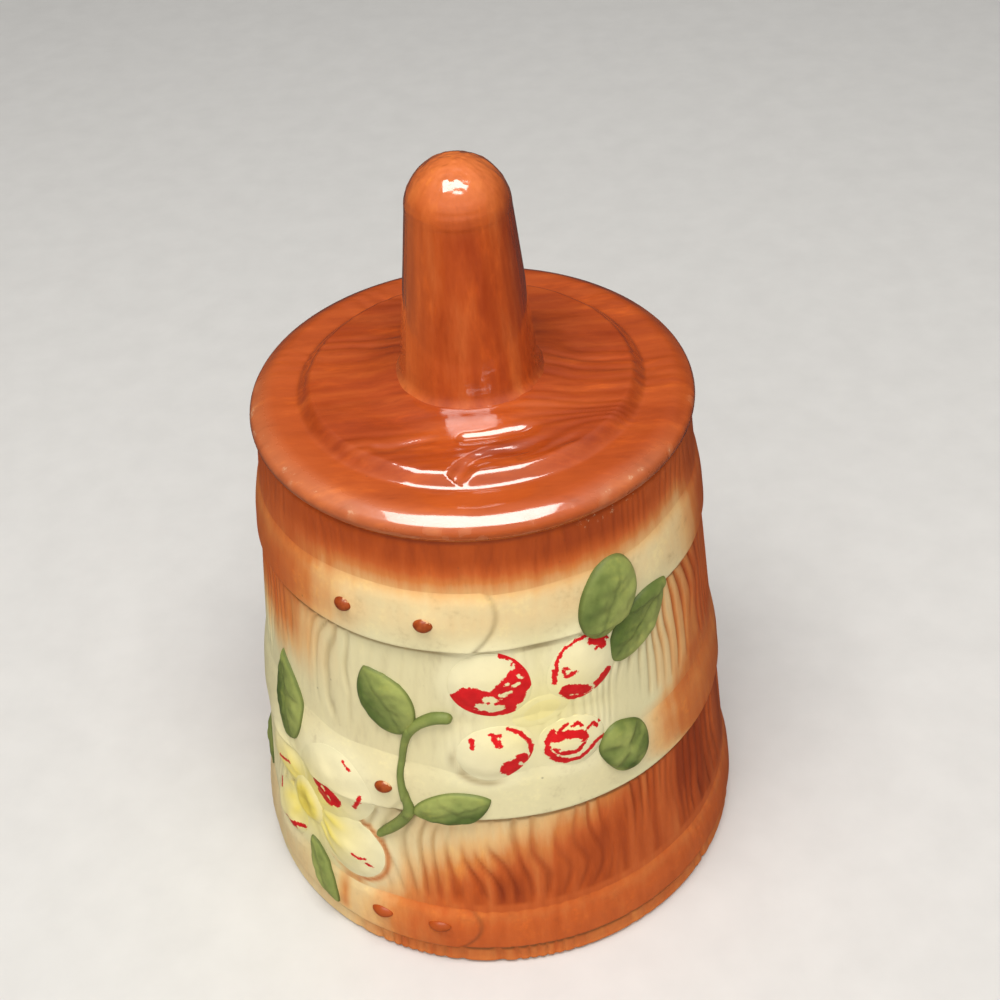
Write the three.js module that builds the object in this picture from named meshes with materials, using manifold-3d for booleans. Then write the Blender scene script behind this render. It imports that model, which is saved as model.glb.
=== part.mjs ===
// A pottery cookie jar in the form of a small staved tub: a tapered jar with three lapped, riveted hoops,
// a laid-on blossom sprig on its front and left, and a loose lid with a tall hollow handle.
// Millimetres, +Z up. The origin is the middle of the foot, and the front of the jar faces -Y.

import * as THREE from 'three';
import { mergeVertices } from 'three/addons/utils/BufferGeometryUtils.js';
import Module from 'manifold-3d';

const wasm = await Module();
wasm.setup();

// Jar
const BODY_HEIGHT = 158;
const FOOT_RADIUS = 77;
const RIM_RADIUS = 60.5;
const WALL_THICKNESS = 5.5;
const FLOOR_THICKNESS = 7;
const FLOOR_FILLET = 3;
const FOOT_RING_WIDTH = 10;
const FOOT_RECESS = 2;
const FOOT_ROUND = 2;
const RIM_ROUND = 1.5;

// Gap that every laid-on piece keeps to what carries it
const CLEARANCE = 0.3;

// Hoops: the upper one hangs from the rim, the lower one stands on the foot
const HOOP_PROUD = 1.4;
const HOOP_BEVEL = 0.8;
const UPPER_HOOP_DROP = 14;
const UPPER_HOOP_WIDTH = 20.6;
const MIDDLE_HOOP_HEIGHT = 73.6;
const MIDDLE_HOOP_WIDTH = 23.3;
const LOWER_HOOP_RISE = 8;
const LOWER_HOOP_WIDTH = 17;

// Lapped end of a hoop: where it stops across the front, how long it thickens and how round its end is
const UPPER_LAP_END = 1.8;
const MIDDLE_LAP_END = -22;
const LOWER_LAP_END = -9.5;
const LAP_LENGTH = 62;
const LAP_ROUND = 12;
const LAP_PROUD = 0.7;

// Rivet heads through the laps: across the front from the middle line, and up from the middle of the hoop
const RIVET_LENGTH = 5.2;
const RIVET_WIDTH = 4.2;
const RIVET_PROUD = 2;
const UPPER_RIVETS = [[-39.7, -0.7], [-17, -1.1]];
const MIDDLE_RIVETS = [[-33.6, -2.2]];
const LOWER_RIVETS = [[-39.8, 0.8], [-21.5, 1.1]];

// Lid
const LID_OVERHANG = 1.5;
const LID_EDGE = 6.4;
const LID_RISE = 0.8;
const LID_STEP_RADIUS = 44.8;
const LID_STEP_SLOPE = 3;
const LID_STEP_HEIGHT = 3;
const LID_THICKNESS = 5;
const RING_CLEARANCE = 1.8;
const RING_THICKNESS = 4;
const RING_DEPTH = 9;
const RING_CHAMFER = 1.2;

// Handle
const HANDLE_FOOT_RADIUS = 19;
const HANDLE_TOP_RADIUS = 14.1;
const HANDLE_HEIGHT = 64.8;
const HANDLE_WALL = 4.5;
const HANDLE_FILLET = 5;

// Sprig relief: the drape is how softly a laid-on piece climbs over a hoop's edge
const DRAPE = 4;
const SINK = 3;
const LEAF_EDGE = 1.2;
const LEAF_CROWN = 1.5;
const PETAL_EDGE = 1;
const PETAL_CROWN = 1.7;
const PETAL_LENGTH = 22;
const PETAL_WIDTH = 19.5;
const HEART_RADIUS = 5.6;
const HEART_CROWN = 2.2;
const BUD_RADIUS = 8.8;
const BUD_CROWN = 2.8;
const STEM_RADIUS = 1.7;

// Sprig places: across the front from the middle line, and up from the level that carries the group.
// A petal's third number is its size against the plain petal.
const RIGHT_BLOSSOM = { across: 12.4, up: -3.8 };
const RIGHT_PETALS = [[-13.4, 10.9, 1.07], [11.6, 10.7, 1], [-13.2, -12.9, 0.98], [8, -13.5, 0.89]];
const RIGHT_BUD = [24.6, -23.5];
const RIGHT_LEAVES = [
  { name: 'right_leaf_round', base: [15.6, 19.1], tip: [24, 42.1], width: 17.4 },
  { name: 'right_leaf_pointed', base: [21.4, 8.5], tip: [41, 25.1], width: 15.5 },
];
const LEFT_BLOSSOM = { across: -67.6, up: 0.7 };
const LEFT_PETALS = [[16.2, 19.4, 1.2], [19.2, -6.6, 1.16], [-10.8, 10.8, 1], [-12.4, -12.2, 1]];
const LEFT_LEAVES = [
  { name: 'left_leaf_upper', base: [-4, 21.8], tip: [-6.8, 51.4], width: 16 },
  { name: 'left_leaf_side', base: [-43, -0.2], tip: [-40, -19.2], width: 11 },
  { name: 'left_leaf_lower', base: [-0.8, -15.4], tip: [10.2, -34.6], width: 9.5 },
];
const FRONT_STEM = { across: -27.2, up: 0 };
const STEM_POINTS = [
  [0.6, 14.4], [-0.8, 7.4], [-1.2, 2], [-0.4, -5.2],
  [0.2, -10.2], [-2.6, -15.8], [-6.8, -20.6], [-11.6, -25.2],
];
const BRANCH_POINTS = [[15.3, 26.2], [10.4, 25.6], [6.2, 23.2], [2.6, 18.6], [0.8, 14.6]];
const FRONT_LEAVES = [
  { name: 'front_leaf_upper', base: [0.6, 17.4], tip: [-9.6, 38.4], width: 16.6 },
  { name: 'front_leaf_lower', base: [1.2, -10.7], tip: [24, -3.4], width: 13.5 },
];

// Fineness of the round bodies and of the laid-on pieces
const BODY_SIDES = 64;
const HANDLE_SIDES = 40;
const ARC_STEPS = 4;
const CURVE_STEPS = 8;
const STEM_STEPS = 20;
const BRANCH_STEPS = 8;
const STEM_SIDES = 4;
const LAP_STEPS = 12;
const MERGE_DISTANCE = 1e-4;

// How a pressed piece rises: each ring's share of the outline, and its share of the crown
const CROWN_RINGS = [[1, 0], [0.82, 0.55], [0.5, 0.9]];

// Colours of the glazes
const finish = (color, roughness) => new THREE.MeshStandardMaterial({ color, roughness, metalness: 0 });
const BROWN_GLAZE = finish(0xb9501f, 0.16);
const CREAM_GLAZE = finish(0xe6d9a8, 0.38);
const HOOP_GLAZE = finish(0xe0c892, 0.38);
const RIVET_GLAZE = finish(0xa8521f, 0.35);
const LEAF_GREEN = finish(0x6f8a4b, 0.42);
const PETAL_GLAZE = finish(0xdccaa0, 0.42);
const HEART_YELLOW = finish(0xe6d65a, 0.42);

const at = (radius, height) => new THREE.Vector2(radius, height);

// Points of an arc about (radius, height), from one angle to another in degrees
function arc(radius, height, round, from, to) {
  return Array.from({ length: ARC_STEPS + 1 }, (_, i) => {
    const angle = THREE.MathUtils.degToRad(from + ((to - from) * i) / ARC_STEPS);
    return at(radius + round * Math.cos(angle), height + round * Math.sin(angle));
  });
}

// A profile turned about the jar's axis
function turned(profile, sides) {
  return new THREE.LatheGeometry(profile, sides).rotateX(Math.PI / 2);
}

// A closed geometry as a solid that can be joined and cut
function solidOf(geometry) {
  const bare = geometry.clone();
  bare.deleteAttribute('normal');
  bare.deleteAttribute('uv');
  const merged = mergeVertices(bare, MERGE_DISTANCE);
  const corners = merged.index.array;
  const faces = [];
  for (let i = 0; i < corners.length; i += 3) {
    const [a, b, c] = corners.slice(i, i + 3);
    if (a !== b && b !== c && c !== a) faces.push(a, b, c);
  }
  const vertProperties = new Float32Array(merged.attributes.position.array);
  return new wasm.Manifold(new wasm.Mesh({ numProp: 3, vertProperties, triVerts: new Uint32Array(faces) }));
}

// The largest body of a solid, as a geometry
function geometryOf(solid) {
  const bodies = solid.decompose().sort((a, b) => b.volume() - a.volume());
  const mesh = bodies[0].getMesh();
  const geometry = new THREE.BufferGeometry();
  geometry.setAttribute('position', new THREE.BufferAttribute(mesh.vertProperties, mesh.numProp));
  geometry.setIndex(new THREE.BufferAttribute(mesh.triVerts, 1));
  geometry.computeVertexNormals();
  return geometry;
}

// Outside and inside of the tapered wall at a height
const wallRadius = (up) => THREE.MathUtils.mapLinear(up, 0, BODY_HEIGHT, FOOT_RADIUS, RIM_RADIUS);
const boreRadius = (up) => wallRadius(up) - WALL_THICKNESS;

const UPPER_HOOP_TOP = BODY_HEIGHT - UPPER_HOOP_DROP;
const HOOPS = {
  upper_hoop: {
    low: UPPER_HOOP_TOP - UPPER_HOOP_WIDTH, high: UPPER_HOOP_TOP,
    lapEnd: UPPER_LAP_END, rivets: UPPER_RIVETS,
  },
  middle_hoop: {
    low: MIDDLE_HOOP_HEIGHT - MIDDLE_HOOP_WIDTH / 2, high: MIDDLE_HOOP_HEIGHT + MIDDLE_HOOP_WIDTH / 2,
    lapEnd: MIDDLE_LAP_END, rivets: MIDDLE_RIVETS,
  },
  lower_hoop: {
    low: LOWER_HOOP_RISE, high: LOWER_HOOP_RISE + LOWER_HOOP_WIDTH,
    lapEnd: LOWER_LAP_END, rivets: LOWER_RIVETS,
  },
};

// Levels that carry the groups of the sprig: the bare bands between the hoops, and the middle hoop itself
const UPPER_BAND = (HOOPS.upper_hoop.low + HOOPS.middle_hoop.high) / 2;
const LOWER_BAND = (HOOPS.middle_hoop.low + HOOPS.lower_hoop.high) / 2;

// Radius of what lies under the sprig: the wall, and the hoops with their edges softened
function groundRadius(up) {
  let lift = 0;
  for (const hoop of Object.values(HOOPS)) {
    const beyond = Math.max(hoop.low - up, up - hoop.high, 0);
    lift = Math.max(lift, HOOP_PROUD * (1 - THREE.MathUtils.smoothstep(beyond, 0, DRAPE)));
  }
  return wallRadius(up) + CLEARANCE + lift;
}

function onWall(angle, up, radius) {
  return new THREE.Vector3(radius * Math.sin(angle), -radius * Math.cos(angle), up);
}

// Rings of points joined into one closed body with flat or fanned ends
function lofted(rings, firstEnd, lastEnd) {
  const sides = rings[0].length;
  const points = [...rings.flat(), firstEnd, lastEnd];
  const first = points.length - 2;
  const last = points.length - 1;
  const index = [];
  for (let side = 0; side < sides; side++) {
    const next = (side + 1) % sides;
    index.push(first, next, side);
    for (let ring = 0; ring < rings.length - 1; ring++) {
      const low = ring * sides;
      const high = low + sides;
      index.push(low + side, low + next, high + next, low + side, high + next, high + side);
    }
    const top = (rings.length - 1) * sides;
    index.push(top + side, top + next, last);
  }
  const geometry = new THREE.BufferGeometry().setFromPoints(points);
  geometry.setIndex(index);
  return geometry;
}

function jarWall() {
  const floorTop = FOOT_RECESS + FLOOR_THICKNESS;
  const footInner = FOOT_RADIUS - FOOT_RING_WIDTH;
  const rimTurn = BODY_HEIGHT - RIM_ROUND;
  const floorTurn = floorTop + FLOOR_FILLET;
  return turned([
    at(0, FOOT_RECESS),
    at(footInner - FOOT_RECESS, FOOT_RECESS),
    at(footInner, 0),
    ...arc(wallRadius(FOOT_ROUND) - FOOT_ROUND, FOOT_ROUND, FOOT_ROUND, -90, 0),
    ...arc(wallRadius(rimTurn) - RIM_ROUND, rimTurn, RIM_ROUND, 0, 90),
    ...arc(boreRadius(rimTurn) + RIM_ROUND, rimTurn, RIM_ROUND, 90, 180),
    ...arc(boreRadius(floorTurn) - FLOOR_FILLET, floorTurn, FLOOR_FILLET, 0, -90),
    at(0, floorTop),
  ], BODY_SIDES);
}

// A hoop's plain band, grown by a margin when it is used to cut what lies on it
function hoopBand({ low, high }, grow = 0) {
  const inner = (up) => wallRadius(up) + CLEARANCE - grow;
  const outer = (up) => wallRadius(up) + CLEARANCE + HOOP_PROUD + grow;
  const [bottom, top] = [low - grow, high + grow];
  return turned([
    at(inner(bottom), bottom),
    at(outer(bottom) - HOOP_BEVEL, bottom),
    at(outer(bottom + HOOP_BEVEL), bottom + HOOP_BEVEL),
    at(outer(top - HOOP_BEVEL), top - HOOP_BEVEL),
    at(outer(top) - HOOP_BEVEL, top),
    at(inner(top), top),
    at(inner(bottom), bottom),
  ], BODY_SIDES);
}

// The lapped end of a hoop: it thickens towards its end, which is cut round from below
function hoopLap({ low, high, lapEnd }, grow = 0) {
  const middle = (low + high) / 2;
  const [bottom, top] = [low + HOOP_BEVEL - grow, high - HOOP_BEVEL + grow];
  const rings = [];
  for (let step = 0; step < LAP_STEPS; step++) {
    const along = 1 - (1 - step / (LAP_STEPS - 1)) ** 2;
    const across = lapEnd + grow - LAP_LENGTH * (1 - along);
    const past = THREE.MathUtils.clamp(1 - (lapEnd + grow - across) / LAP_ROUND, 0, 1);
    const start = Math.min(top - (top - bottom) * Math.sqrt(1 - past ** 2), top - HOOP_BEVEL);
    const angle = across / wallRadius(middle);
    const inside = CLEARANCE + HOOP_PROUD / 2 - grow;
    const outside = CLEARANCE + HOOP_PROUD + LAP_PROUD * along + grow;
    const level = [start, (start + top) / 2, top];
    rings.push([
      ...level.map((up) => onWall(angle, up, wallRadius(up) + inside)),
      ...level.toReversed().map((up) => onWall(angle, up, wallRadius(up) + outside)),
    ]);
  }
  const endPoint = (ring) => ring[1].clone().add(ring[4]).multiplyScalar(0.5);
  return lofted(rings, endPoint(rings[0]), endPoint(rings.at(-1)));
}

const hoopSolid = (hoop, grow = 0) => solidOf(hoopBand(hoop, grow)).add(solidOf(hoopLap(hoop, grow)));

// What the sprig and the rivets lie on, with the clearance added: the wall and the hoops
function carrierSolid() {
  const wall = turned([
    at(0, -SINK),
    at(wallRadius(-SINK) + CLEARANCE, -SINK),
    at(wallRadius(BODY_HEIGHT + SINK) + CLEARANCE, BODY_HEIGHT + SINK),
    at(0, BODY_HEIGHT + SINK),
  ], BODY_SIDES);
  return Object.values(HOOPS).reduce((all, hoop) => all.add(hoopSolid(hoop, CLEARANCE)), solidOf(wall));
}

const openPoints = (shape) => shape.getPoints(CURVE_STEPS).slice(0, -1);

// A leaf from its base at the bottom to its tip at the top
function leafOutline(length, width) {
  const half = length / 2;
  const shape = new THREE.Shape();
  shape.moveTo(0, -half);
  shape.bezierCurveTo(width * 0.7, -half * 0.6, width * 0.6, half * 0.4, 0, half);
  shape.bezierCurveTo(-width * 0.6, half * 0.4, -width * 0.7, -half * 0.6, 0, -half);
  return openPoints(shape);
}

// A petal, round at its outer end and narrower towards the blossom's heart
function petalOutline(size) {
  const half = (PETAL_LENGTH * size) / 2;
  const width = PETAL_WIDTH * size;
  const shape = new THREE.Shape();
  shape.moveTo(0, -half);
  shape.bezierCurveTo(width * 0.55, -half, width * 0.76, half, 0, half);
  shape.bezierCurveTo(-width * 0.76, half, -width * 0.55, -half, 0, -half);
  return openPoints(shape);
}

function ovalOutline(length, width) {
  const shape = new THREE.Shape();
  shape.absellipse(0, 0, length / 2, width / 2, 0, 2 * Math.PI);
  return openPoints(shape);
}

// A crowned piece pressed on the wall: rings of its outline rise from the edge to the crown
function pressed({ outline, across, up, turn, edge, crown, reach }, grow = 0) {
  const spread = 1 + grow / reach;
  const middle = across / wallRadius(up);
  const ring = (share, lift) => outline.map((point) => {
    const local = point.clone().multiplyScalar(share * spread).rotateAround(at(0, 0), turn);
    const height = up + local.y;
    return onWall(middle + local.x / wallRadius(height), height, groundRadius(height) + lift);
  });
  const top = CLEARANCE + grow + edge;
  const rings = [ring(1, -SINK), ...CROWN_RINGS.map(([share, rise]) => ring(share, top + crown * rise))];
  const under = onWall(middle, up, groundRadius(up) - SINK);
  return lofted(rings, under, onWall(middle, up, groundRadius(up) + top + crown));
}

// The places of the sprig's pieces, those on top first
function leafPiece({ name, base, tip, width }, group, level) {
  const along = at(tip[0] - base[0], tip[1] - base[1]);
  return {
    name, material: LEAF_GREEN, outline: leafOutline(along.length(), width), reach: width / 2,
    across: group.across + (base[0] + tip[0]) / 2, up: level + group.up + (base[1] + tip[1]) / 2,
    turn: Math.atan2(-along.x, along.y), edge: LEAF_EDGE, crown: LEAF_CROWN,
  };
}

function blossomPieces(name, group, level, petals) {
  const heart = {
    name: `${name}_centre`, material: HEART_YELLOW, reach: HEART_RADIUS,
    outline: ovalOutline(2 * HEART_RADIUS, 2 * HEART_RADIUS), across: group.across, up: level + group.up,
    turn: 0, edge: PETAL_EDGE, crown: HEART_CROWN,
  };
  return [heart, ...petals.map(([across, up, size], i) => ({
    name: `${name}_petal_${i + 1}`, material: PETAL_GLAZE, outline: petalOutline(size),
    reach: PETAL_WIDTH / 2, across: group.across + across, up: level + group.up + up,
    turn: Math.atan2(-across, up), edge: PETAL_EDGE, crown: PETAL_CROWN,
  }))];
}

const budPiece = {
  name: 'round_bud', material: LEAF_GREEN, outline: ovalOutline(2 * BUD_RADIUS, 2 * BUD_RADIUS),
  across: RIGHT_BLOSSOM.across + RIGHT_BUD[0], up: UPPER_BAND + RIGHT_BLOSSOM.up + RIGHT_BUD[1],
  turn: 0, edge: LEAF_EDGE, crown: BUD_CROWN, reach: BUD_RADIUS,
};

const sprigPieces = [
  budPiece,
  ...RIGHT_LEAVES.map((leaf) => leafPiece(leaf, RIGHT_BLOSSOM, UPPER_BAND)),
  ...FRONT_LEAVES.map((leaf) => leafPiece(leaf, FRONT_STEM, MIDDLE_HOOP_HEIGHT)),
  ...blossomPieces('right_blossom', RIGHT_BLOSSOM, UPPER_BAND, RIGHT_PETALS),
  ...blossomPieces('left_blossom', LEFT_BLOSSOM, LOWER_BAND, LEFT_PETALS),
  ...LEFT_LEAVES.map((leaf) => leafPiece(leaf, LEFT_BLOSSOM, LOWER_BAND)),
];

function hoopRivets([name, { low, high, rivets }]) {
  return rivets.map(([across, above], i) => ({
    name: `${name}_rivet_${i + 1}`, material: RIVET_GLAZE, outline: ovalOutline(RIVET_LENGTH, RIVET_WIDTH),
    reach: RIVET_WIDTH / 2, across, up: (low + high) / 2 + above, turn: 0,
    edge: LAP_PROUD, crown: RIVET_PROUD,
  }));
}

const rivetPieces = Object.entries(HOOPS).flatMap(hoopRivets);

// A round cord of clay along points of the front stem's group
function stemCord(points, steps) {
  const route = points.map(([across, up]) => {
    const height = MIDDLE_HOOP_HEIGHT + FRONT_STEM.up + up;
    const angle = (FRONT_STEM.across + across) / wallRadius(height);
    return onWall(angle, height, groundRadius(height) + CLEARANCE + STEM_RADIUS / 3);
  });
  const section = new THREE.Shape();
  section.absarc(0, 0, STEM_RADIUS, 0, 2 * Math.PI);
  const extrudePath = new THREE.CatmullRomCurve3(route);
  return new THREE.ExtrudeGeometry(section, { steps, extrudePath, curveSegments: STEM_SIDES });
}

function stemSolid() {
  const stem = solidOf(stemCord(STEM_POINTS, STEM_STEPS));
  return stem.add(solidOf(stemCord(BRANCH_POINTS, BRANCH_STEPS)));
}

// Levels of the lid
const LID_RADIUS = RIM_RADIUS + LID_OVERHANG;
const LID_SHOULDER = BODY_HEIGHT + LID_EDGE + LID_RISE;
const LID_TOP = LID_SHOULDER + LID_STEP_HEIGHT;
const HANDLE_BORE = HANDLE_FOOT_RADIUS - HANDLE_WALL;

function lidPlate() {
  const round = LID_EDGE / 2;
  const recess = LID_STEP_RADIUS - LID_THICKNESS;
  const recessTop = LID_TOP - LID_THICKNESS;
  return turned([
    at(HANDLE_BORE, recessTop),
    at(recess - LID_STEP_SLOPE, recessTop),
    at(recess, BODY_HEIGHT),
    ...arc(LID_RADIUS - round, BODY_HEIGHT + round, round, -90, 90),
    at(LID_STEP_RADIUS + LID_STEP_SLOPE, LID_SHOULDER),
    at(LID_STEP_RADIUS, LID_TOP),
    at(HANDLE_BORE, LID_TOP),
    at(HANDLE_BORE, recessTop),
  ], BODY_SIDES);
}

// The ring under the lid that keeps it in the jar's mouth
function lidLocatingRing() {
  const outer = boreRadius(BODY_HEIGHT) - RING_CLEARANCE;
  const bottom = BODY_HEIGHT - RING_DEPTH;
  return turned([
    at(outer - RING_THICKNESS, bottom),
    at(outer - RING_CHAMFER, bottom),
    at(outer, bottom + RING_CHAMFER),
    at(outer, BODY_HEIGHT),
    at(outer - RING_THICKNESS, BODY_HEIGHT),
    at(outer - RING_THICKNESS, bottom),
  ], BODY_SIDES);
}

// The handle is hollow and open below, with a round crown and a filleted foot
function lidHandle() {
  const crownTurn = LID_TOP + HANDLE_HEIGHT - HANDLE_TOP_RADIUS;
  const fillet = arc(HANDLE_FOOT_RADIUS + HANDLE_FILLET, LID_TOP + HANDLE_FILLET, HANDLE_FILLET, -90, -180);
  return turned([
    ...arc(0, crownTurn, HANDLE_TOP_RADIUS - HANDLE_WALL, 90, 0),
    at(HANDLE_BORE, LID_TOP),
    ...fillet,
    ...arc(0, crownTurn, HANDLE_TOP_RADIUS, 0, 90),
  ], HANDLE_SIDES);
}

function mesh(name, geometry, material) {
  const made = new THREE.Mesh(geometry, material);
  made.name = name;
  return made;
}

const jar = new THREE.Group();
jar.name = 'jar';
jar.add(mesh('jar_wall', jarWall(), CREAM_GLAZE));
for (const [name, hoop] of Object.entries(HOOPS)) {
  jar.add(mesh(name, geometryOf(hoopSolid(hoop)), HOOP_GLAZE));
}

// Each laid-on piece is cut clear of what carries it and of the pieces that lie over it
let taken = carrierSolid();
for (const piece of [...sprigPieces, ...rivetPieces]) {
  jar.add(mesh(piece.name, geometryOf(solidOf(pressed(piece)).subtract(taken)), piece.material));
  taken = taken.add(solidOf(pressed(piece, CLEARANCE)));
}
jar.add(mesh('sprig_stem', geometryOf(stemSolid().subtract(taken)), LEAF_GREEN));

const lid = new THREE.Group();
lid.name = 'lid';
lid.add(mesh('lid_plate', lidPlate(), BROWN_GLAZE));
lid.add(mesh('lid_locating_ring', lidLocatingRing(), BROWN_GLAZE));
lid.add(mesh('lid_handle', lidHandle(), BROWN_GLAZE));

const cookieJar = new THREE.Group();
cookieJar.name = 'cookie_jar';
cookieJar.add(jar, lid);

export default cookieJar;
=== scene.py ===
"""Looks of a pottery cookie jar in the form of a small staved tub.

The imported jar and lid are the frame. Each clay piece is rebuilt here as a closed mesh with its pressed
relief: wood grain, lapped hoops, crowned leaves and petals. Its glaze is made from nodes, and follows values
that are kept on the mesh, such as how much brown was sprayed there.
Lengths in the making are millimetres. Angles round the jar are degrees, 0 at the front (-Y), growing to +X.
"""

import bpy
import numpy as np
from mathutils import Matrix, Vector


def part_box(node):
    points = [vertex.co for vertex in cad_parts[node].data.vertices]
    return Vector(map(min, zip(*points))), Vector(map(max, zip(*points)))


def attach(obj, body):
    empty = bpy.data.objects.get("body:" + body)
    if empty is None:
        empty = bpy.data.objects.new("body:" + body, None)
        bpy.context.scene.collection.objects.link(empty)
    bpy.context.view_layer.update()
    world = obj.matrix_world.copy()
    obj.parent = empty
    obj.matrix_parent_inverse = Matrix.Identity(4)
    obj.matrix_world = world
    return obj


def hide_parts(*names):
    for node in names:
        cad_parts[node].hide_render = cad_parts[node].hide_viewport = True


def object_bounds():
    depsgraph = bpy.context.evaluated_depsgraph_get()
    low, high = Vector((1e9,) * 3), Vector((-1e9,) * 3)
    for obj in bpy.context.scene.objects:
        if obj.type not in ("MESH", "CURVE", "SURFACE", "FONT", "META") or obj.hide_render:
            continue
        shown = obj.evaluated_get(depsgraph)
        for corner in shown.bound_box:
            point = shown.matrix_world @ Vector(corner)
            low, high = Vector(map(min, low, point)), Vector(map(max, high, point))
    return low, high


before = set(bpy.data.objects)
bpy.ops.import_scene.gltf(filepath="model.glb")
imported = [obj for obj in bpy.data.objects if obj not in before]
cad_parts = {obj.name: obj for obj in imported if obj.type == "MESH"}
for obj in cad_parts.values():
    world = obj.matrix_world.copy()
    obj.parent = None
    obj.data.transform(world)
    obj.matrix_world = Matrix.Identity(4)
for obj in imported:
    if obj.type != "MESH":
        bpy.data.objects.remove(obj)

MM = 0.001
CAD_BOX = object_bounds()


def node_levels(node):
    """Lowest and highest level of a CAD node, in millimetres."""
    low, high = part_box(node)
    return low[2] / MM, high[2] / MM


# Jar
JAR_HEIGHT = node_levels("jar_wall")[1]
FOOT_RADIUS = 77.0
RIM_RADIUS = 60.5
WALL_THICKNESS = 5.5
FLOOR_LEVEL = 7.0
FLOOR_FILLET = 3.0
FOOT_RING_WIDTH = 10.0
FOOT_RECESS = 2.0
FOOT_ROUND = 2.0
RIM_ROUND = 1.5
GRAIN_DEPTH = 0.95
GRAIN_LINES = 104.0
GRAIN_KNOTS = ((-3.0, 52.0, 1.3), (24.0, 40.0, -0.9), (150.0, 108.0, 1.6), (-150.0, 44.0, 1.4))

# Hoops: the levels come from the frame, the lap ends are measured across the front
HOOPS = {name: node_levels(name) for name in ("upper_hoop", "middle_hoop", "lower_hoop")}
HOOP_PROUD = 1.25
LAP_ENDS = {"upper_hoop": 1.4, "middle_hoop": -26.0, "lower_hoop": -9.5}
# How dark the painted shade along each hoop's lap end is
LAP_SHADE_LINES = {"upper_hoop": 0.42, "middle_hoop": 0.04, "lower_hoop": 0.5}
LAP_LENGTH = 62.0
LAP_PROUD = 0.6
LAP_BOW = 7.0
HOOP_SUNK = 0.35
HOOP_EDGE = 0.8
LAP_MIDDLE = 0.56
HOOP_FADES = {"upper_hoop": 6.5, "middle_hoop": 9.5, "lower_hoop": 4.5}
WIDEST = CAD_BOX[1][0] / MM - 0.05

# Rivets: the hoop that each sits on, and its place across the front and up. Then, for the rivets of each hoop,
# their length and width, how strong the painted highlight along the upper edge is, and how much is sprayed
# over
RIVETS = {
    "upper_hoop_rivet_1": ("upper_hoop", -39.7, 133.0),
    "upper_hoop_rivet_2": ("upper_hoop", -17.0, 132.6),
    "middle_hoop_rivet_1": ("middle_hoop", -33.6, 71.4),
    "lower_hoop_rivet_1": ("lower_hoop", -39.8, 17.3),
    "lower_hoop_rivet_2": ("lower_hoop", -21.5, 17.6),
}
RIVET_SIZES = {"upper_hoop": (5.2, 4.0), "middle_hoop": (5.2, 4.0), "lower_hoop": (7.0, 3.6)}
RIVET_HIGHLIGHT_AND_SPRAY = {"upper_hoop": (0.56, 0.0), "middle_hoop": (0.56, 0.0), "lower_hoop": (0.0, 0.75)}
RIVET_RISE = 1.3
RIVET_MOUND = 0.8
RIVET_MOUND_RADIUS = 3.8

# Lid
LID_LOW, LID_TOP = node_levels("lid_plate")
LID_RADIUS = 62.0
LID_ROLL_START = 54.5
LID_ROLL_SLOPE = 0.64
LID_ROLL_TURN = (60.0, 60.7)
LID_SHOULDER = LID_LOW + 7.2
LID_STEP = (43.9, 48.7)
LID_RECESS_RADIUS = 39.8
LID_RECESS_LEVEL = LID_TOP - 5.0
LID_GRAIN_DEPTH = 0.24
LID_GRAIN_SPACING = 4.6
LID_VALLEY = (49.0, 2.4)
HANDLE_BORE = 14.5
HANDLE_FOOT = 19.0
HANDLE_CROWN = 14.1
HANDLE_FILLET = 5.0
HANDLE_WALL = 4.5
HANDLE_TOP = node_levels("lid_handle")[1]
RING_LOW = node_levels("lid_locating_ring")[0]
RING_OUTER = 53.2
RING_WALL = 4.0
RING_ROUND = 1.4

# Blossoms and petals: centre across the front and up, length, width, and the turn of the long axis
BLOSSOMS = {"right": (12.4, 100.5), "left": (-67.6, 44.2)}
PETALS = {
    "right_blossom_petal_1": ("right", (-1.0, 111.4), 23.0, 21.5, 50),
    "right_blossom_petal_2": ("right", (24.0, 111.2), 22.0, 19.5, -42),
    "right_blossom_petal_3": ("right", (-0.8, 87.6), 22.5, 18.5, 118),
    "right_blossom_petal_4": ("right", (20.4, 87.0), 20.0, 17.0, -118),
    "left_blossom_petal_1": ("left", (-53.2, 60.8), 32.0, 27.0, -38),
    "left_blossom_petal_2": ("left", (-50.0, 38.8), 25.0, 24.0, -120),
    "left_blossom_petal_3": ("left", (-78.4, 55.0), 22.0, 19.0, 62),
    "left_blossom_petal_4": ("left", (-80.0, 32.0), 22.0, 19.0, 138),
}
BLOSSOM_SWELL = 0.8
BLOSSOM_SWELL_REACH = 4.2
# Yellow spray round each heart: reach and strength. The left one's wide reach is partly painted light on the
# shaded lower flank of its upper petal
BLOSSOM_YELLOW = {"right": (14.0, 0.5), "left": (18.0, 0.85)}

# Hearts of the blossoms: length, width, turn of the long axis, height, and how strongly they are pressed
HEARTS = {"right": (17.0, 9.5, -72, 0.4, 0.1), "left": (17.0, 13.0, 24, 2.9, 1.0)}

# Columns round the turned bodies, the wall's rows, and rings and sides of the laid-on pieces
WALL_COLUMNS = 800
WALL_ROW_STEP = 1.5
HIDDEN_ROW_STEP = 6.0
ROWS_UNDER_HOOPS = (2.6, 2.2, 1.8, 1.3, 0.7)
LID_COLUMNS = 480
HANDLE_COLUMNS = 240
PIECE_RINGS = 26
PIECE_SIDES = 120
PIECE_DEPTH = 2.6
PIECE_IN_WALL = 0.6


def ramp(x, low, high):
    """Smooth step from 0 at low to 1 at high."""
    t = np.clip((x - low) / (high - low), 0.0, 1.0)
    return t * t * (3.0 - 2.0 * t)


def fall(x, low, high):
    """Smooth step from 1 at low to 0 at high."""
    return 1 - ramp(x, low, high)


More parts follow.
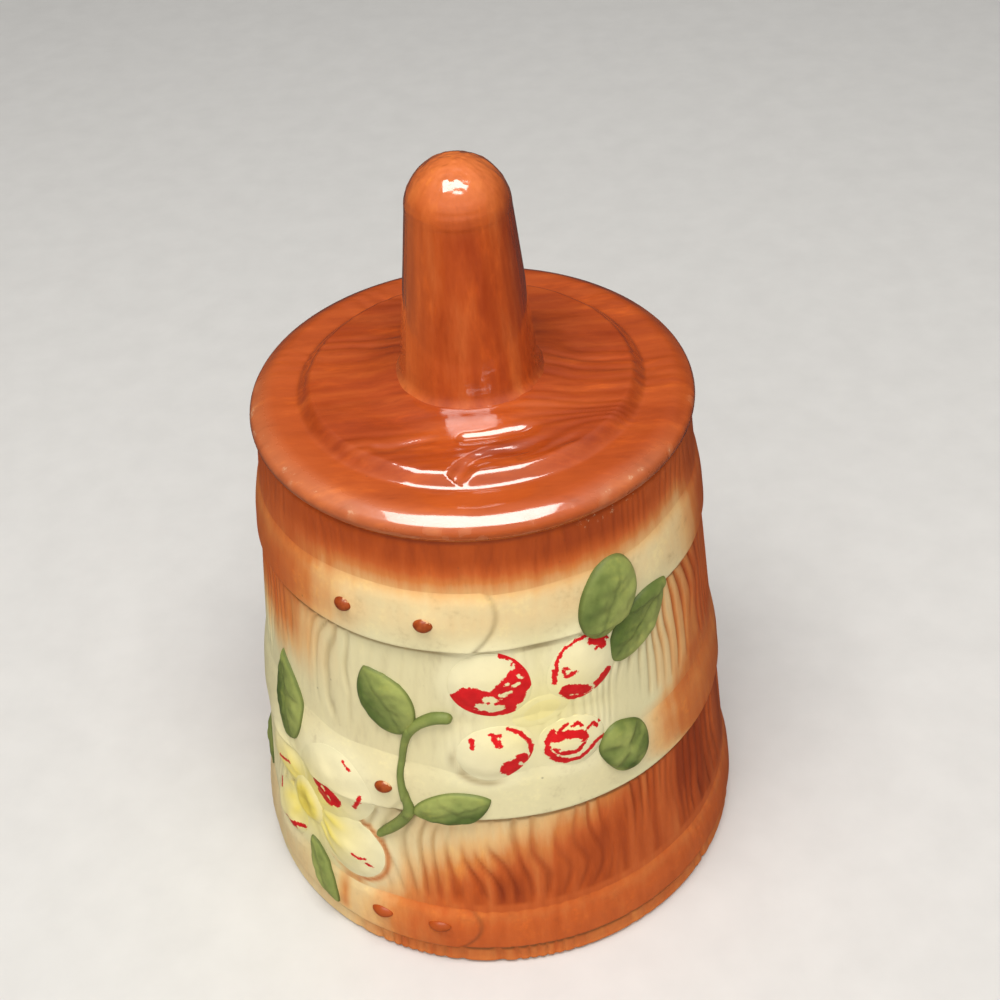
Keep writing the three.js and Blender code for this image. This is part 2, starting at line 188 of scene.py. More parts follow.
def bell(x, centre, half):
    """1 round the centre, falling off past the half width."""
    return np.exp(-(((x - centre) / half) ** 4))


def spot(x, centre, half):
    """Soft round bump, 1 at the centre."""
    return np.exp(-(((x - centre) / half) ** 2))


def full_turn(count):
    """Evenly spaced angles round a full turn, in radians."""
    return np.linspace(0, 2 * np.pi, count, endpoint=False)


def noise(u, v, seed, wrap=256):
    """Smooth noise from -1 to 1 with a cell of one unit. It repeats in u after wrap cells."""
    table = np.random.default_rng(seed).uniform(-1.0, 1.0, (256, 64))
    u, v = np.broadcast_arrays(np.asarray(u, float), np.asarray(v, float))
    iu = np.floor(u).astype(int)
    iv = np.floor(v).astype(int)
    fu = u - iu
    fv = v - iv
    fu = fu * fu * fu * (fu * (6.0 * fu - 15.0) + 10.0)
    fv = fv * fv * fv * (fv * (6.0 * fv - 15.0) + 10.0)
    low = table[iu % wrap, iv % 64] * (1 - fu) + table[(iu + 1) % wrap, iv % 64] * fu
    high = table[iu % wrap, (iv + 1) % 64] * (1 - fu) + table[(iu + 1) % wrap, (iv + 1) % 64] * fu
    return low * (1 - fv) + high * fv


def ring_noise(a, level, cells, height, seed):
    """Noise that closes round the jar: cells round it, and the height of a cell."""
    return noise(a / 360.0 * cells, level / height, seed, cells)


def wall_radius(z):
    """Radius of the bare tapered wall."""
    return FOOT_RADIUS - (FOOT_RADIUS - RIM_RADIUS) * z / JAR_HEIGHT


def angle_of(across, up):
    """Angle round the jar of a place measured across the front along the wall."""
    return np.degrees(across / wall_radius(up))


def across_of(a, z):
    """Distance along the wall from the middle line of the front."""
    return np.radians(a) * wall_radius(z)


def on_jar(a, z, r):
    """Points in millimetres at an angle, a level and a radius."""
    a, z, r = np.broadcast_arrays(a, z, r)
    turn = np.radians(a)
    return np.stack([r * np.sin(turn), -r * np.cos(turn), z], -1)


def grain(a, z):
    """How deep the pressed wood grain is, from 0 on a ridge to 1 in a groove."""
    flow = GRAIN_LINES * (a / 360.0)
    flow = flow + 2.0 * ramp(a, 28.0, 64.0)
    flow = flow + 1.5 * ring_noise(a, z, 22, 46.0, 11) + 0.5 * ring_noise(a, z, 47, 16.0, 12)
    for knot_a, knot_z, size in GRAIN_KNOTS:
        flow = flow + size * np.exp(-(((a - knot_a) / 6.0) ** 2) - ((z - knot_z) / 13.0) ** 2)
    groove = (0.5 + 0.5 * np.cos(2 * np.pi * flow)) ** 4.0
    bare_panel = ramp(z, 84.0, 90.0)
    deep = 0.6 * bell(a, 47.0, 15.0) * bare_panel + 0.4 * bell(a, -48.0, 12.0) * bare_panel
    strength = np.clip(0.45 + deep + 1.3 * ring_noise(a, z, 53, 30.0, 13), 0.05, 1.0)
    calm_front = bell(a, -6.0, 31.0) * ramp(z, 83.0, 92.0) * fall(z, 140.0, 146.0)
    calm_low = ramp(a, -14.0, 8.0) * fall(a, 100.0, 130.0) * fall(z, 62.0, 70.0)
    share = (1.0 - 0.85 * calm_front) * (1.0 - 0.12 * calm_low) * np.where(z > 140.0, 0.22, 1.0)
    return groove * strength * share


def clear_of_hoops(z):
    """1 on the bare wall, 0 behind the hoops, with a soft start above each of them."""
    share = 1.0
    for low, high in HOOPS.values():
        share = share * np.where(z < low + 0.5, 1.0, ramp(z, high - 0.5, high + 5.0))
    return share


def petal_frame(node):
    """Centre angle, centre level, and the unit axes across and along a petal."""
    _, (across, up), _, _, turn = PETALS[node]
    lean = np.radians(turn)
    along = np.array([-np.sin(lean), np.cos(lean)])
    beside = np.array([np.cos(lean), np.sin(lean)])
    return angle_of(across, up), up, beside, along


def petal_gap(node, a, z):
    """Distance from a petal's outline to a place outside it."""
    _, _, length, width, _ = PETALS[node]
    centre_a, centre_z, beside, along = petal_frame(node)
    du = np.radians(a - centre_a) * wall_radius(centre_z)
    dv = z - centre_z
    x = du * beside[0] + dv * beside[1]
    y = du * along[0] + dv * along[1]
    reach = np.sqrt((x / (width / 2)) ** 2 + (y / (length / 2)) ** 2)
    return np.maximum(reach - 1.0, 0.0) * width / 2


def petal_crease(node, a, z):
    """The narrow crease just outside a petal."""
    gap = petal_gap(node, a, z)
    return spot(gap, 1.2, 1.1) * (gap > 0)


def sprayed_crease(a, z):
    """The crease beside the lower front petal of the left blossom, where brown spray has settled."""
    return petal_crease("left_blossom_petal_2", a, z) * ramp(a, -50.0, -38.0)


def petal_creases(a, z):
    """Shaded creases beside the petals that stand well off the ground."""
    beside = 0.2 * sprayed_crease(a, z)
    between = 0.4 * petal_crease("left_blossom_petal_1", a, z) * ramp(a, -47.0, -41.0) * (z < 58.0)
    below = 0.7 * petal_crease("right_blossom_petal_3", a, z)
    below = below * fall(a, -3.0, 3.0) * fall(z, 83.0, 90.0)
    return beside + between + below


def blossom_swell(a, z):
    """Soft rise of the clay round the petals, on the wall and on the hoops."""
    rise = 0.0
    for node in PETALS:
        rise = np.maximum(rise, spot(petal_gap(node, a, z), 0.0, BLOSSOM_SWELL_REACH))
    return BLOSSOM_SWELL * rise


def pale_round_petals(a, z):
    """Where the clay round the petals stayed pale: all of its rise but the sprayed crease."""
    return blossom_swell(a, z) / BLOSSOM_SWELL * (1 - 0.9 * sprayed_crease(a, z))


def lap_end(name, z):
    """How far across the front a hoop's rounded lap reaches at a level."""
    low, high = HOOPS[name]
    middle = LAP_MIDDLE * (high - low)
    return LAP_ENDS[name] - LAP_BOW * ((z - low - middle) / middle) ** 2


def lap(name, a, z):
    """Extra thickness of a hoop's lapped end, which fades out along the hoop."""
    across = across_of(a, z)
    inside = ramp(lap_end(name, z) - across, -0.5, 0.9)
    fresh = ramp(across, LAP_ENDS[name] - LAP_LENGTH, LAP_ENDS[name] - 0.4 * LAP_LENGTH)
    return LAP_PROUD * inside * fresh


def rivet_mounds(name, a, z):
    """Low mounds of clay round the rivets of a hoop."""
    rise = 0.0
    for carrier, across, up in RIVETS.values():
        if carrier == name:
            du = across_of(a, z) - across
            dv = z - up
            rise = rise + RIVET_MOUND * np.exp(-(du * du + dv * dv) / RIVET_MOUND_RADIUS**2)
    return rise


def hoop_face(name, a, z):
    """Rise of a hoop's outer face over the bare wall, before its edges are rounded."""
    low, high = HOOPS[name]
    wobble = 0.1 * ring_noise(a, z, 24, 18.0, 31) + 0.08 * ring_noise(a, z, 64, 7.0, 32)
    taper = 0.5 + 0.5 * fall(z, low + 0.3 * (high - low), high - 2.0)
    near_blossom = blossom_swell(a, z) / BLOSSOM_SWELL
    soft_top = fall(z, high - HOOP_FADES[name] - 5.0 * near_blossom, high)
    rise = (HOOP_PROUD + HOOP_SUNK + wobble) * taper + lap(name, a, z) + rivet_mounds(name, a, z)
    return rise * soft_top - HOOP_SUNK


def ground(a, z):
    """Radius of the surface that carries the laid-on pieces: the wall, and the hoops with softened edges."""
    rise = blossom_swell(a, z)
    for name, (low, high) in HOOPS.items():
        inside = ramp(z, low - 1.6, low + 0.6) * fall(z, high - 0.5, high + 0.5)
        rise = rise + inside * np.maximum(hoop_face(name, a, z), 0.0)
    return wall_radius(z) + rise


def airbrush(a, z):
    """Share of sprayed brown, from 0 on bare cream to 1 at the deepest, as the painter shaded the tub."""
    streak = ring_noise(a, z, 150, 42.0, 21) + 0.6 * ring_noise(a, z, 70, 30.0, 22)
    cloud = ring_noise(a, z, 14, 24.0, 23)
    low_hoop, mid_hoop, top_hoop = HOOPS["lower_hoop"], HOOPS["middle_hoop"], HOOPS["upper_hoop"]
    on_top = bell(z, (top_hoop[0] + top_hoop[1]) / 2, 12.0)
    on_mid = bell(z, (mid_hoop[0] + mid_hoop[1]) / 2, 13.0)
    on_panel = ramp(z, mid_hoop[1] - 1.0, mid_hoop[1] + 3.0)
    on_panel = on_panel * fall(z, top_hoop[0] - 1.0, top_hoop[0] + 1.0)
    streak = streak * (1 - 0.65 * np.maximum(on_top, on_mid))

    # The coat under the lid, all the way round, a little higher at the right
    front = fall(np.abs(a), 122.0, 160.0)
    under_lid = ramp(z + 0.9 * streak - 3.0 * ramp(a, 46.0, 64.0) * front, 136.0, 152.5)

    # The front's own coats, which fade out before the back so that both sides meet there
    upper_left = 0.88 * ramp(-a + 1.7 * streak + 11.0 * on_top, 36.0, 74.0)
    upper_left = upper_left * ramp(z + 3.0 * streak, 90.0, 116.0)
    right_edge = ramp(a + 2.0 * streak - 6.0 * on_top + 17.0 * on_mid, 49.0, 70.0) * (1 - 0.16 * on_mid)
    right_tint = 0.46 * ramp(a + 2.0 * streak, 38.0, 57.0) * on_panel
    right_tint = right_tint + 0.3 * ramp(a, 38.0, 66.0) * on_top
    fade_level = 34.5 + (a + 20.0) * 0.5
    lower_wall = ramp(fade_level - z + 2.6 * streak, -18.0, 11.0) * ramp(a + 2.4 * streak, -41.0, -9.0)
    lower_wall = lower_wall * (z < mid_hoop[0])
    lower_tint = 0.21 * ramp(a, -40.0, -4.0) * (z < mid_hoop[0]) * (z > low_hoop[1])
    upper_tint = 0.14 * on_top * ramp(z, 123.0, 135.0) * bell(a, 4.0, 50.0)
    # At the very bottom the foot's band is lighter: partly its own colour, partly painted light against the
    # shade near the floor
    on_foot = fall(z, 6.0, 9.0)
    foot_band = 0.16 + 0.5 * ramp(a + 2.0 * streak + 9.0 * on_foot, -44.0, -8.0) + 0.05 * streak
    foot_band = foot_band * (1 - 0.16 * on_foot) + 0.4 * spot(a, -41.5, 1.7) * ramp(z, 6.0, 12.0)
    foot_band = foot_band * fall(z, low_hoop[1] - 1.5, low_hoop[1] + 0.8)
    crease = 0.75 * sprayed_crease(a, z)

    # The back, brown all over but for a cream window
    behind = np.abs(np.abs(a) - 180.0)
    window = np.exp(-((behind / 50.0) ** 4) - ((z - 104.0) / 34.0) ** 4)
    back = ramp(np.abs(a) + 5.0 * streak + 10.0 * (a > 0), 92.0, 128.0) * (1 - window)
    back = back * np.where(z < low_hoop[1], 0.75, 1.0)

    right_side = right_edge * (z > low_hoop[1])
    bare = (1 - under_lid) * (1 - back)
    for coat in (upper_left, upper_tint, right_side, right_tint, lower_wall, lower_tint, foot_band, crease):
        bare = bare * (1 - np.clip(coat * front, 0, 1))
    brown = 1 - bare

    # How deep the brown may get, and the streaks of the lower wall
    upper = ramp(z, mid_hoop[0] - 1.0, mid_hoop[0])
    deepest = 0.88 - 0.1 * ramp(np.abs(a), 28.0, 60.0) * upper + 0.08 * ramp(z, 138.0, 146.0)
    deepest = deepest + 0.05 * ramp(a, 10.0, 40.0) * front * (1 - upper)
    banded = 0.95 + 0.05 * cloud - 0.19 * np.clip(streak, -0.6, 1.0) * (1 - upper)
    return np.clip(brown * deepest * banded + 0.02 * cloud, 0, 1)


FOOT_MOST_BROWN = 0.61
LOW_HOOP_MOST_BROWN = 0.72


def foot_limit(z, brown):
    """The lowest hoop and the foot stay orange, lighter than the deepest brown of the wall. On the foot this
    is partly its own colour and partly painted light against the shade near the floor.
    """
    low, high = HOOPS["lower_hoop"]
    most = np.where(z < low - 1.0, FOOT_MOST_BROWN, LOW_HOOP_MOST_BROWN)
    return np.where(z < high + 0.3, np.minimum(brown, most), brown)


def blossom_yellow_share(a, z):
    """Yellow spray round the hearts of the blossoms."""
    share = 0.0
    for flower, (across, up) in BLOSSOMS.items():
        reach, weight = BLOSSOM_YELLOW[flower]
        du = across_of(a, z) - across
        share = share + weight * np.exp(-(du * du + (z - up) ** 2) / reach**2)
    return np.clip(share, 0, 1)


def mesh_piece(name, points, faces, marks):
    """A mesh object from points in millimetres, with one float value per point for each mark."""
    mesh = bpy.data.meshes.new(name)
    mesh.from_pydata((points * MM).tolist(), [], faces)
    for mark, values in marks.items():
        values = np.ascontiguousarray(np.broadcast_to(values, len(points)), np.float32)
        mesh.attributes.new(mark, "FLOAT", "POINT").data.foreach_set("value", values)
    mesh.shade_smooth()
    piece = bpy.data.objects.new(name, mesh)
    bpy.context.scene.collection.objects.link(piece)
    return piece


def finish_piece(piece, node, body, glaze):
    """Gives a clay piece its glaze, and lets it stand for its CAD node."""
    piece.data.materials.append(glaze)
    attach(piece, body)
    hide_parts(node)


def strip_faces(rows, columns):
    """Quads between neighbouring rows of points that close round the columns."""
    row, column = np.meshgrid(np.arange(rows - 1), np.arange(columns), indexing="ij")
    after = (column + 1) % columns
    low = row * columns
    high = low + columns
    quads = [low + column, low + after, high + after, high + column]
    return np.stack(quads, -1).reshape(-1, 4).tolist()


def turned_solid(name, a, z, r, marks):
    """A closed body turned on the jar's axis, whose first and last rows shrink to points."""
    rows, columns = r.shape
    points = on_jar(a, z, r)
    body = points[1:-1].reshape(-1, 3)
    ends = np.array([points[0].mean(0), points[-1].mean(0)])
    inner = (rows - 2) * columns
    faces = strip_faces(rows - 2, columns)
    last = (rows - 3) * columns
    for j in range(columns):
        k = (j + 1) % columns
        faces.append([inner, k, j])
        faces.append([inner + 1, last + j, last + k])
    kept = {}
    for mark, values in marks.items():
        values = np.broadcast_to(values, r.shape)
        kept[mark] = np.concatenate([values[1:-1].ravel(), [values[0].mean(), values[-1].mean()]])
    return mesh_piece(name, np.concatenate([body, ends]), faces, kept)


def turned_ring(name, a, z, r, marks):
    """A closed ring turned on the jar's axis, whose last row joins its first."""
    rows, columns = r.shape
    points = on_jar(a, z, r).reshape(-1, 3)
    faces = strip_faces(rows, columns)
    last = (rows - 1) * columns
    for j in range(columns):
        k = (j + 1) % columns
        faces.append([last + j, last + k, k, j])
    kept = {mark: np.broadcast_to(values, r.shape).ravel() for mark, values in marks.items()}
    return mesh_piece(name, points, faces, kept)


def columns_of(count):
    """Angles of the columns, from the back round the front to the back again."""
    return -180.0 + 360.0 * np.arange(count) / count


def spread(profile, a):
    """Levels and radii of a profile's points at every column."""
    return profile[:, 1:2] + 0.0 * a, profile[:, 0:1] + 0.0 * a


def arc_points(centre_r, centre_z, radius, start, end, steps):
    """Points of a profile arc, radius and level, with angles from the outward direction."""
    turn = np.radians(np.linspace(start, end, steps))
    return [*zip(centre_r + radius * np.cos(turn), centre_z + radius * np.sin(turn))]


def wall_levels():
    """Levels of the outer wall's rows: closest under each hoop's lower edge, sparse behind the hoops."""
    edges = [FOOT_ROUND]
    for low, high in sorted(HOOPS.values()):
        edges += [low, high]
    edges.append(JAR_HEIGHT - RIM_ROUND)
    levels = []
    for k, (low, high) in enumerate(zip(edges[:-1], edges[1:])):
        step = WALL_ROW_STEP if k % 2 == 0 else HIDDEN_ROW_STEP
        count = max(2, int(round((high - low) / step)))
        levels += list(np.linspace(low, high, count, endpoint=False))
        if k in (0, 2, 4):
            levels += [high - gap for gap in ROWS_UNDER_HOOPS]
    return sorted(levels) + [edges[-1]]


def crease_under_hoops(z):
    """Dark line where the wall runs under a hoop's lower edge: partly pooled glaze, partly painted shade under
    the hoop.
    """
    line = 0.0
    for low, _ in HOOPS.values():
        line = np.maximum(line, ramp(z, low - 2.3, low - 1.75) * (z < low + 0.3))
    return line


def jar_wall(glaze):
    """The hollow jar: foot ring, grained wall, rim, inside and floor."""
    a = columns_of(WALL_COLUMNS)[None, :]
    foot_r = wall_radius(0.0)
    ring_inner = foot_r - FOOT_RING_WIDTH
    bore_r = wall_radius(JAR_HEIGHT) - WALL_THICKNESS
    floor_r = wall_radius(FLOOR_LEVEL) - WALL_THICKNESS

    under = [(0.0, FOOT_RECESS), (ring_inner * 0.5, FOOT_RECESS), (ring_inner - 1.0, FOOT_RECESS)]
    under += [(ring_inner, 0.4), (ring_inner + 0.6, 0.0), (foot_r - FOOT_ROUND, 0.0)]
    under += arc_points(foot_r - FOOT_ROUND, FOOT_ROUND, FOOT_ROUND, -60, -10, 4)
    outer = [(wall_radius(z), z) for z in wall_levels()]
    rim = arc_points(RIM_RADIUS - RIM_ROUND, JAR_HEIGHT - RIM_ROUND, RIM_ROUND, 20, 90, 4)
    lip = arc_points(bore_r + RIM_ROUND, JAR_HEIGHT - RIM_ROUND, RIM_ROUND, 90, 180, 5)
    inside = [(wall_radius(z) - WALL_THICKNESS, z) for z in np.linspace(JAR_HEIGHT - 4, FLOOR_LEVEL + 4, 12)]
    fillet = arc_points(floor_r - FLOOR_FILLET, FLOOR_LEVEL + FLOOR_FILLET, FLOOR_FILLET, 0, -90, 5)
    floor = [(floor_r * share, FLOOR_LEVEL) for share in (0.8, 0.4, 0.0)]
    profile = np.array([*under, *outer, *rim, *lip, *inside, *fillet, *floor])

    z, r = spread(profile, a)
    first, last = len(under), len(under) + len(outer)
    skin = np.zeros(len(profile))
    skin[first:last] = 1.0
    skin[first - 4:first] = 0.6
    skin[last:last + 2] = 0.5
    skin = skin[:, None]
    depth = grain(a, z) * clear_of_hoops(z) * skin
    near_blossom = blossom_swell(a, z) / BLOSSOM_SWELL
    # Painted shade under each hoop's lower edge, partly pooled glaze; it also sinks the wall a little there
    glaze_and_shade_under_hoop = crease_under_hoops(z) * (skin > 0.9) * (1 - near_blossom)
    r = r - GRAIN_DEPTH * depth + blossom_swell(a, z) * skin - 0.25 * glaze_and_shade_under_hoop
    r = r + 0.15 * ring_noise(a, z, 20, 22.0, 33) * skin * ramp(z, 4.0, 12.0)

    brown = airbrush(a, z)
    stained = 0.2 * ramp(a, 34.0, 50.0) * fall(a, 72.0, 92.0) * ramp(z, 80.0, 88.0)
    stained = stained * fall(z, 122.0, 132.0)
    in_soft_edge = brown * (1 - brown) * ramp(a, -30.0, 10.0) * fall(a, 120.0, 160.0)
    brown = brown + 0.5 * (depth - 0.2) * in_soft_edge + depth * (0.05 * brown + stained)
    brown = foot_limit(z, brown) * (skin > 0)
    bare_clay = (np.arange(len(profile)) < first - 3)[:, None] * (z < 0.3)
    shaded = 0.5 * depth * (1 - 0.55 * brown) * (0.35 + 0.65 * ramp(z, 8.0, 14.0))
    marks = {
        "brown": np.clip(brown, 0, 1),
        # The hollow mark is painted shade: in the grain's grooves, under the hoops and in the creases beside
        # the petals
        "hollow": np.clip(shaded + 0.8 * glaze_and_shade_under_hoop + petal_creases(a, z) * (skin > 0), 0, 1),
        "yellow": blossom_yellow_share(a, z) * (skin > 0),
        "pale": pale_round_petals(a, z) * (skin > 0),
        "chips": (bell(a, 31.0, 15.0) + 0.5 * bell(a, 4.0, 12.0)) * ramp(z, 149.0, 155.5) * (skin > 0),
        "bare_clay": bare_clay.astype(float),
    }
    piece = turned_solid("jar_wall_fired", a, z, r, marks)
    finish_piece(piece, "jar_wall", "jar", glaze)


def hoop(name, glaze):
    """A raised hoop with a crisp lower edge, a soft upper edge and one lapped, rounded end."""
    low, high = HOOPS[name]
    a = columns_of(WALL_COLUMNS)[None, :]
    width = high - low
    close_rows = [0.0, 0.004, 0.015, 0.03, 0.05]
    share = np.concatenate([close_rows, np.linspace(0.085, 0.8, 17), np.linspace(0.84, 1.0, 7)])
    face_z = low + width * share
    edge = np.sqrt(np.clip(1 - (1 - np.clip((face_z - low) / HOOP_EDGE, 0, 1)) ** 2, 0, 1))
    edge = 0.12 + 0.88 * edge
    z = face_z[:, None] + 0.0 * a
    rise = hoop_face(name, a, z) * edge[:, None] + blossom_swell(a, z)
    if name == "lower_hoop":
        rise = rise - 0.16 * grain(a, z) * edge[:, None]
    outer = np.minimum(wall_radius(z) + rise, WIDEST)
    back_z = np.array([high, low])[:, None] + 0.0 * a
    back_r = wall_radius(back_z) - 1.0

    across = across_of(a, z)
    # Painted shade: a dark line along the lap end, and one along the hoop's lower edge that is partly pooled
    # glaze
    lap_end_shade = spot(across - lap_end(name, z), 0.4, 0.75)
    lower_edge_glaze_and_shade = spot(z, low, 0.4)
    line = np.clip(lower_edge_glaze_and_shade + LAP_SHADE_LINES[name] * lap_end_shade + petal_creases(a, z), 0, 1)
    # The brown is lighter along the hoop's soft top edge: a painted highlight on the ridge
    brown = foot_limit(z, airbrush(a, z)) * (1 - 0.09 * spot(z, high - HOOP_FADES[name] + 0.5, 2.6))
    z_all = np.concatenate([z, back_z])
    back_mark = np.zeros_like(back_z)
    marks = {
        "brown": np.clip(np.concatenate([brown, brown[-1:], brown[:1]]), 0, 1),
        "hollow": np.concatenate([line, back_mark]),
        "yellow": np.concatenate([blossom_yellow_share(a, z), back_mark]),
        "pale": np.concatenate([pale_round_petals(a, z), back_mark]),
        "bare_clay": np.zeros_like(z_all),
    }
    piece = turned_ring(name + "_fired", a, z_all, np.concatenate([outer, back_r]), marks)
    finish_piece(piece, name, "jar", glaze)


def pressed(node, glaze, centre, axis, outline, rise, marks):
    """A crowned piece laid on the jar: its outline is filled with rings that rise from the ground."""
    centre_a, centre_z = centre
    share = 1 - (1 - np.linspace(0, 1, PIECE_RINGS + 1)[1:]) ** 1.7
    t = share[:, None]
    x = t * outline[:, 0]
    y = t * outline[:, 1]
    along = np.array(axis)
    beside = np.array([along[1], -along[0]])
    du = x * beside[0] + y * along[0]
    dv = x * beside[1] + y * along[1]
    a = centre_a + np.degrees(du / wall_radius(centre_z))
    z = centre_z + dv
    t = np.broadcast_to(t, x.shape)
    r = ground(a, z) + rise(x, y, t, du, dv)
    sunk = np.minimum(r[-1] - PIECE_DEPTH, wall_radius(z[-1]) - PIECE_IN_WALL)
    rings = np.concatenate([on_jar(a, z, r), on_jar(a[-1:], z[-1:], sunk[None, :])])
    top = on_jar(centre_a, centre_z, r[0].mean())[None, :]
    bottom = rings[-1].mean(0)[None, :]
    rows, columns = rings.shape[:2]
    middle = rows * columns
    faces = [face[::-1] for face in strip_faces(rows, columns)]
    for j in range(columns):
        k = (j + 1) % columns
        faces.append([middle, j, k])
        faces.append([middle + 1, (rows - 1) * columns + k, (rows - 1) * columns + j])
    kept = {}
    for mark, painter in marks.items():
        values = np.broadcast_to(painter(x, y, t, du, dv), x.shape)
        kept[mark] = np.concatenate([values.ravel(), values[-1], [values[0].mean(), 0.0]])
    points = np.concatenate([rings.reshape(-1, 3), top, bottom])
    piece = mesh_piece(node + "_fired", points, faces, kept)
    finish_piece(piece, node, "jar", glaze)


def steep(t, power):
    """Flat over the middle of a piece and steep at its edge."""
    return np.sqrt(np.clip(1 - t**power, 0, 1))


def oval(length, width, point=2.0):
    """Outline with its long axis upright. A point over 2 squares it, under 2 sharpens its ends."""
    turn = full_turn(PIECE_SIDES)
    x = np.sign(np.cos(turn)) * np.abs(np.cos(turn)) ** (2 / point) * width / 2
    y = np.sign(np.sin(turn)) * np.abs(np.sin(turn)) ** (2 / point) * length / 2
    return np.stack([x, y], -1)


def leaf_outline(length, width, tip, base, bow):
    """Leaf outline from its base, below, to its tip. The two powers go from 1, pointed, to 0.5, round."""
    turn = full_turn(PIECE_SIDES)
    y = np.sin(turn)
    sharp = np.where(y > 0, tip, base)
    reach = np.clip(1 - np.abs(y) ** 1.9, 0, 1) ** sharp
    x = np.sign(np.cos(turn)) * reach * width / 2 + bow * (1 - y * y)
    return np.stack([x, y * length / 2], -1)


# Leaves: base and tip across the front and up, width, how round tip and base are, bow of the midrib, lift, the
# tone of the green, set per leaf partly as painted light, and how much one half is painted lighter than the
# other, as a lit and a shaded half
LEAVES = {
    "right_leaf_round": ((28.0, 119.6), (36.4, 142.6), 17.4, (0.5, 0.56), 0.2, 0.7, (0.55, 0.35)),
    "right_leaf_pointed": ((33.8, 109.0), (53.4, 125.6), 16.4, (0.72, 0.5), -0.4, 0.1, (0.42, 0.4)),
    "front_leaf_upper": ((-26.6, 91.0), (-36.8, 112.0), 16.6, (0.82, 0.5), 0.4, 0.0, (0.36, 0.45)),
    "front_leaf_lower": ((-26.0, 62.9), (-3.2, 70.2), 13.0, (0.74, 0.68), 0.9, 0.0, (0.3, -0.5)),
    "left_leaf_upper": ((-71.6, 66.0), (-74.4, 95.6), 15.4, (1.25, 0.5), 0.6, 0.0, (0.34, 0.35)),
    "left_leaf_side": ((-112.0, 40.0), (-108.6, 22.0), 9.6, (0.8, 0.6), 0.0, -0.6, (0.6, 0.2)),
    "left_leaf_lower": ((-68.4, 28.8), (-57.4, 9.6), 8.6, (0.72, 0.66), 0.9, 0.0, (0.75, 0.3)),
}
LEAF_EDGE = 1.15
LEAF_CROWN = 0.85
LEAF_VEIN = 0.2
LEAF_SIDE_VEINS = 0.09


def leaf(node, seed, glaze):
    """A crowned leaf, folded along its midrib, with faint side veins and hand-pressed lumps."""
    base, tip, width, points, bow, lift, (tone, lighter) = LEAVES[node]
    base_a, tip_a = angle_of(*base), angle_of(*tip)
    centre = ((base_a + tip_a) / 2, (base[1] + tip[1]) / 2)
    run = np.array([np.radians(tip_a - base_a) * wall_radius(centre[1]), tip[1] - base[1]])
    length = np.hypot(*run)
    half = width / 2

    def midrib(x, y):
        bend = 0.05 * half * np.sin(y / length * 7.0 + seed)
        return spot(x - bow, bend, 0.75) * bell(y, -0.06 * length, 0.46 * length)

    def rise(x, y, t, du, dv):
        fold = 0.16 * np.abs(x) / half * (1 - t**4)
        slant = y + 0.8 * np.abs(x)
        veins = np.sin(2 * np.pi * (slant * 0.19 + 0.3 * noise(x / 5.0, y / 7.0, 50 + seed)))
        veins = LEAF_SIDE_VEINS * veins * (1 - t**5)
        lumps = 0.34 * noise(x / 3.6 + 7.3 * seed, y / 4.4 + 3.1, 40 + seed)
        lumps = (lumps + 0.14 * noise(x / 1.5 + seed, y / 1.7, 41 + seed)) * (1 - t**6)
        crown = (lift + LEAF_EDGE) * steep(t, 9) + LEAF_CROWN * (1 - t * t)
        return crown + fold + veins + lumps - LEAF_VEIN * midrib(x, y)

    # Painted shade in the midrib and round the edge; the shade mark paints one half lit and the other shaded
    marks = {
        "hollow": lambda x, y, t, du, dv: np.maximum(0.3 * midrib(x, y), 0.65 * ramp(t, 0.93, 1.0)),
        "worn": lambda x, y, t, du, dv: fall(np.abs(t - 0.9), 0.02, 0.12),
        "shade": lambda x, y, t, du, dv: tone + lighter * np.clip((x - bow) / half * 1.6, -1, 1),
    }
    outline = leaf_outline(length, width, *points, bow)
    pressed(node, glaze, centre, run / length, outline, rise, marks)


BUD_PLACE = (37.0, 77.2)
BUD_RADIUS = 9.0
BUD_AXIS = (-0.54, 0.84)
BUD_FOLDS = ((1.9, 0.5), (3.9, -0.5), (6.0, 0.4), (0.4, -0.3))


def round_bud(glaze):
    """The round folded bud: a dome of overlapping leaves with creases between them."""
    turn = full_turn(PIECE_SIDES)
    lobes = BUD_RADIUS * (1 + 0.035 * np.cos(3 * turn + 0.6) + 0.02 * np.cos(5 * turn))
    outline = np.stack([0.86 * lobes * np.cos(turn), 1.08 * lobes * np.sin(turn)], -1)

    def folds(x, y):
        crease = 0.0
        reach = np.hypot(x, y) / BUD_RADIUS
        for start, bend in BUD_FOLDS:
            off = np.angle(np.exp(1j * (np.arctan2(y, x) - start - bend * reach)))
            crease = crease + spot(off * np.maximum(reach, 0.15), 0.0, 0.13) * ramp(reach, 0.05, 0.3)
        return np.clip(crease, 0, 1) * fall(np.hypot(x, y), 0.8 * BUD_RADIUS, BUD_RADIUS)

    def rise(x, y, t, du, dv):
        lumps = (0.45 * noise(x / 3.2, y / 3.2, 61) + 0.2 * noise(x / 1.6, y / 1.6, 63)) * (1 - t**5)
        return 1.7 * steep(t, 6) + 1.3 * (1 - t * t) + lumps - 0.4 * folds(x, y)

    marks = {
        # Painted shade in the folds and round the edge
        "hollow": lambda x, y, t, du, dv: 0.4 * folds(x, y) + 0.5 * ramp(t, 0.92, 1.0),
        "worn": lambda x, y, t, du, dv: ramp(t, 0.86, 0.99) * 0.6,
        "shade": lambda x, y, t, du, dv: 0.36 + 0.5 * noise(x / 4.0, y / 4.0, 62),
    }
    centre = (angle_of(*BUD_PLACE), BUD_PLACE[1])
    pressed("round_bud", glaze, centre, BUD_AXIS, outline, rise, marks)


